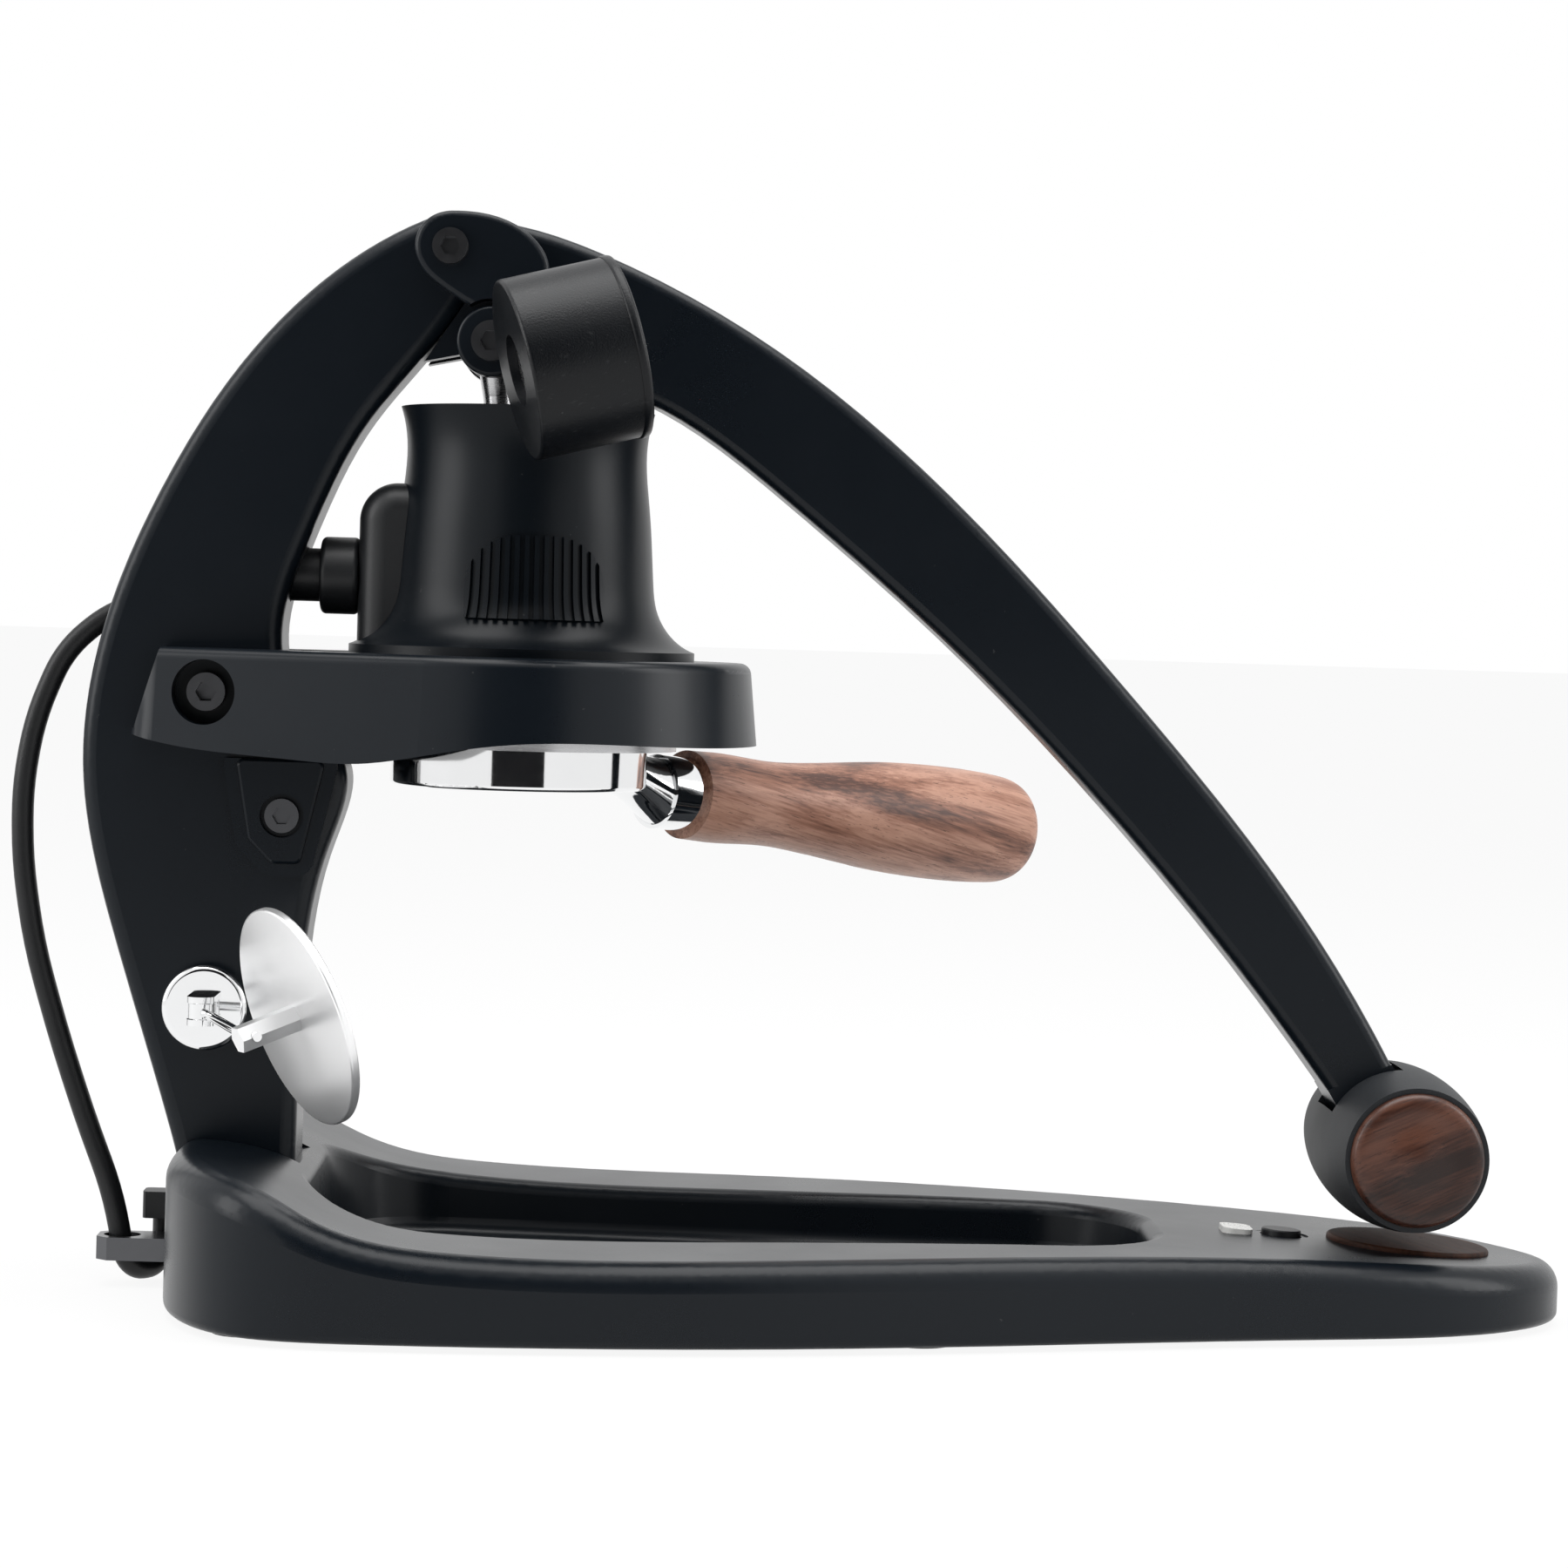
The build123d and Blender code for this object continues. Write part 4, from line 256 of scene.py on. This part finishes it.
mirror_face = metal("mirror_silver", (0.93, 0.935, 0.94), rough=0.025, brush=(60, 60, 60), spread=0.012)
black_plastic = plastic("black_plastic", (0.0065, 0.0072, 0.0085), (0.0100, 0.0108, 0.0122),
                        rough=0.42, grain_scale=1800.0)
white_guide = plastic("white_light_guide", (0.80, 0.80, 0.77), (0.86, 0.86, 0.84),
                      rough=0.28, grain_scale=900.0)
board_green = plastic("circuit_board", (0.012, 0.09, 0.035), (0.02, 0.13, 0.05),
                      rough=0.4, grain_scale=1200.0)
heater_film = plastic("heater_film", (0.42, 0.17, 0.05), (0.52, 0.24, 0.08),
                      rough=0.45, grain_scale=700.0)
dial_paint = plastic("dial_paint", (0.78, 0.78, 0.76), (0.83, 0.83, 0.81),
                     rough=0.5, grain_scale=1500.0)
needle_paint = plastic("needle_paint", (0.55, 0.035, 0.025), (0.6, 0.05, 0.03),
                       rough=0.4, grain_scale=900.0)
print_black = plastic("print_black", (0.012, 0.012, 0.012), (0.018, 0.018, 0.018),
                      rough=0.55, grain_scale=900.0)
handle_wood = walnut("handle_walnut", turn=(0, -18, -40), shift=(0.0, 0.013, 0.031),
                     pale=(0.470, 0.258, 0.183), middle=(0.262, 0.119, 0.077), dark=(0.072, 0.028, 0.018),
                     rough=0.38, shine=0.35, figure=0.6)
cap_wood = walnut("cap_walnut", turn=(4, 24, 0), shift=(0.02, 0.01, 0.006),
                  pale=(0.098, 0.038, 0.023), middle=(0.050, 0.0185, 0.0115), dark=(0.015, 0.0055, 0.0036),
                  rough=0.30, shine=0.35, figure=0.5)
disc_wood = walnut("disc_walnut", turn=(0, 4, 70), shift=(0.01, 0.02, 0.0),
                   pale=(0.052, 0.021, 0.0125), middle=(0.030, 0.012, 0.0072), dark=(0.011, 0.0043, 0.003),
                   rough=0.55, shine=0.1, figure=1.0)
lens_clear = glass("lens_clear", (0.97, 0.98, 0.98), bend=1.45)

finishes = {
    coat_black: "base post group_bracket lever_arm clamp_plates yoke_cheek_near yoke_cheek_far",
    sleeve_black: "brew_sleeve thumb_grips",
    boot_rubber: "gauge_boot",
    grip_rubber: "lever_grip",
    foot_rubber: "base_feet",
    jacket: "cable",
    seal: "group_gasket piston_seals",
    screw_black: "cover_screws post_bolts bracket_screws clamp_screws ring_screws pivot_screws yoke_screws "
                 "cable_clip gauge_nipple pivot_pin yoke_pin handle_bolt grip_core",
    chrome: "portafilter_body mirror_link mirror_magnet gauge_bezel",
    disc_back: "mirror_disc",
    stainless: "bayonet_ring brew_cylinder shower_screen filter_basket basket_spring plunger_stem gauge_case "
               "gauge_movement",
    bronze: "pivot_bushes",
    mirror_face: "mirror_glass",
    black_plastic: "bottom_cover power_inlet connector_boss head_plug base_plug power_button piston piston_cap",
    white_guide: "indicator_window",
    board_green: "control_board",
    heater_film: "heater_band",
    dial_paint: "gauge_dial",
    needle_paint: "gauge_needle",
    handle_wood: "portafilter_handle",
    cap_wood: "grip_caps",
    disc_wood: "badge_disc",
    lens_clear: "gauge_lens",
}
for finish, names in finishes.items():
    for name in names.split():
        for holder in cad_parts[name].material_slots:
            holder.material = finish


def mesh_object(name, mesh, finish):
    """An object from a bmesh, with one finish."""
    data = bpy.data.meshes.new(name)
    mesh.to_mesh(data)
    mesh.free()
    made = bpy.data.objects.new(name, data)
    bpy.context.scene.collection.objects.link(made)
    data.materials.append(finish)
    return made


def piece(name, mesh, body, finish):
    """A new piece from a bmesh, riding on a body."""
    made = mesh_object(name, mesh, finish)
    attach(made, body)
    return made


merge_distance = 1e-7


def turned(profile, place, body, name, finish, steps=96):
    """A ring turned about the Z axis of a place, from a closed outline of radius and height."""
    mesh = bmesh.new()
    corners = [mesh.verts.new((radius, 0, height)) for radius, height in profile]
    edges = [mesh.edges.new((a, b)) for a, b in zip(corners, corners[1:] + corners[:1])]
    bmesh.ops.spin(mesh, geom=corners + edges, cent=(0, 0, 0), axis=(0, 0, 1), angle=math.tau, steps=steps,
                   use_merge=True)
    bmesh.ops.remove_doubles(mesh, verts=mesh.verts, dist=merge_distance)
    bmesh.ops.recalc_face_normals(mesh, faces=mesh.faces)
    bmesh.ops.transform(mesh, matrix=place, verts=mesh.verts)
    for face in piece(name, mesh, body, finish).data.polygons:
        face.use_smooth = True


# Gauge face: a plain scale with ticks and numbers, and the moulded lip of the boot
gauge_middle = (0.0123, -0.0570, 0.2416)
gauge_rise, gauge_turn = math.radians(14.7), math.radians(11.0)
gauge_out = Vector((math.cos(gauge_rise) * math.cos(gauge_turn), math.cos(gauge_rise) * math.sin(gauge_turn),
                    math.sin(gauge_rise)))
gauge_up = (Vector((0, 0, 1)) - gauge_out * gauge_out.z).normalized()
gauge_axes = Matrix((gauge_up.cross(gauge_out), gauge_up, gauge_out)).transposed().to_4x4()
gauge = Matrix.Translation(gauge_middle) @ gauge_axes
dial_face = 0.00556
scale_start, scale_sweep = 225, 270
tick_count, ticks_per_number = 24, 6
tick_outer, tick_height = 0.0165, 0.00008
long_tick, short_tick = (0.0030, 0.00045), (0.0016, 0.00025)
number_step, number_radius, number_size, number_rise = 3, 0.0112, 0.0042, 0.00004
boot_lip = [(0.0224, 0.0118), (0.02295, 0.0120), (0.02310, 0.0126), (0.02310, 0.0134), (0.02285, 0.0141),
            (0.0222, 0.0143)]


def scale_angle(share):
    """The angle on the dial at a share of the scale."""
    return math.radians(scale_start - scale_sweep * share)


ticks = bmesh.new()
for step in range(tick_count + 1):
    length, width = short_tick if step % ticks_per_number else long_tick
    mark = bmesh.ops.create_cube(ticks, size=1.0)["verts"]
    bmesh.ops.scale(ticks, vec=(length, width, tick_height), verts=mark)
    bmesh.ops.translate(ticks, vec=(tick_outer - length / 2, 0, dial_face), verts=mark)
    bmesh.ops.rotate(ticks, matrix=Matrix.Rotation(scale_angle(step / tick_count), 3, "Z"), verts=mark)
bmesh.ops.transform(ticks, matrix=gauge, verts=ticks.verts)
piece("gauge_ticks", ticks, "plunger", print_black)

number_count = tick_count // ticks_per_number
for step in range(number_count + 1):
    angle = scale_angle(step / number_count)
    words = bpy.data.curves.new("number", "FONT")
    words.body = str(step * number_step)
    words.size = number_size
    words.align_x = "CENTER"
    words.align_y = "CENTER"
    words.extrude = number_rise
    holder = bpy.data.objects.new("number", words)
    bpy.context.scene.collection.objects.link(holder)
    bpy.context.view_layer.update()
    flat = bpy.data.meshes.new_from_object(holder.evaluated_get(bpy.context.evaluated_depsgraph_get()))
    bpy.data.objects.remove(holder)
    number = bmesh.new()
    number.from_mesh(flat)
    bmesh.ops.translate(number, vec=(number_radius * math.cos(angle), number_radius * math.sin(angle), dial_face),
                        verts=number.verts)
    bmesh.ops.transform(number, matrix=gauge, verts=number.verts)
    piece(f"gauge_number_{step}", number, "plunger", print_black)
turned(boot_lip, gauge, "plunger", "gauge_boot_lip", boot_rubber)


# Stage: pale floor, soft light and the camera of the photograph
floor_size, floor_glow, floor_glow_share = 40.0, 1.0, 0.9
floor_finish = Finish("pale_floor", Specular_IOR_Level=0.1, Roughness=0.6)
floor_finish.feed(Base_Color=floor_finish.tint(floor_finish.noise(floor_finish.place(), scale=3.0), (0.86, 0.86, 0.86),
                                               (0.88, 0.88, 0.88)))
glow = floor_finish.node("ShaderNodeEmission", {}, {"Strength": floor_glow})
lit = Value(floor_finish.node, floor_finish.surface.outputs["BSDF"])
blend = floor_finish.node("ShaderNodeMixShader", {}, {"Fac": floor_finish.seen() * floor_glow_share, 1: lit, 2: glow})
floor_finish.tree.links.new(blend.socket, floor_finish.tree.nodes["Material Output"].inputs["Surface"])
floor_mesh = bmesh.new()
bmesh.ops.create_grid(floor_mesh, x_segments=4, y_segments=4, size=floor_size)
floor = mesh_object("floor", floor_mesh, floor_finish.material)

# A dark card behind the camera, which only reflections see
card_half, card_place = 0.75, (0.05, -1.75, 0.75)
card_finish = Finish("dark_card", Specular_IOR_Level=0.0)
card_finish.feed(Base_Color=card_finish.tint(card_finish.noise(card_finish.place(), scale=2.0), (0.008, 0.008, 0.009),
                                             (0.012, 0.012, 0.013)))
card_mesh = bmesh.new()
bmesh.ops.create_grid(card_mesh, x_segments=1, y_segments=1, size=card_half)
bmesh.ops.transform(card_mesh, verts=card_mesh.verts,
                    matrix=Matrix.Translation(card_place) @ Matrix.Rotation(math.radians(90), 4, "X"))
card = mesh_object("dark_card", card_mesh, card_finish.material)
for ray in ("camera", "diffuse", "transmission", "volume_scatter", "shadow"):
    setattr(card, "visible_" + ray, False)

sky_spread, sky_seen = 0.45, 1.0
world = bpy.data.worlds.new("studio")
bpy.context.scene.world = world
world.use_nodes = True
sky = Shader(world.node_tree)
air = sky.tree.nodes["Background"]
air.inputs["Color"].default_value = (1, 1, 1, 1)
level = sky.node("ShaderNodeMapRange", {}, {"Value": sky.seen(), "To Min": sky_spread, "To Max": sky_seen})
sky.tree.links.new(level.socket, air.inputs["Strength"])


def softbox(name, place, target, size, power):
    """A large area lamp that points at a target."""
    lamp = bpy.data.lights.new(name, "AREA")
    lamp.shape = "RECTANGLE"
    lamp.size, lamp.size_y = size
    lamp.energy = power
    holder = bpy.data.objects.new(name, lamp)
    holder.location = place
    holder.rotation_euler = (Vector(target) - Vector(place)).to_track_quat("-Z", "Y").to_euler()
    bpy.context.scene.collection.objects.link(holder)


softbox("top_box", place=(0.1, -0.1, 1.5), target=(0.08, 0, 0.1), size=(1.6, 1.1), power=22)
softbox("left_box", place=(-1.3, -0.35, 0.7), target=(0.0, 0, 0.15), size=(0.7, 1.2), power=11)
softbox("right_box", place=(1.5, -0.3, 0.8), target=(0.1, 0, 0.12), size=(0.7, 1.2), power=11)

lens = bpy.data.cameras.new("camera")
lens.lens = 100.0
lens.sensor_width = 36.0
lens.clip_start = 0.01
camera = bpy.data.objects.new("camera", lens)
camera_place = Vector((0.03636, -1.13832, 0.17583))
right = Vector((0.99914, -0.02797, 0.03067))
up = Vector((-0.02965, 0.03596, 0.99891))
camera.matrix_world = Matrix.Translation(camera_place) @ Matrix((right, up, right.cross(up))).transposed().to_4x4()
bpy.context.scene.collection.objects.link(camera)
bpy.context.scene.camera = camera
bpy.context.scene.view_settings.view_transform = "Standard"
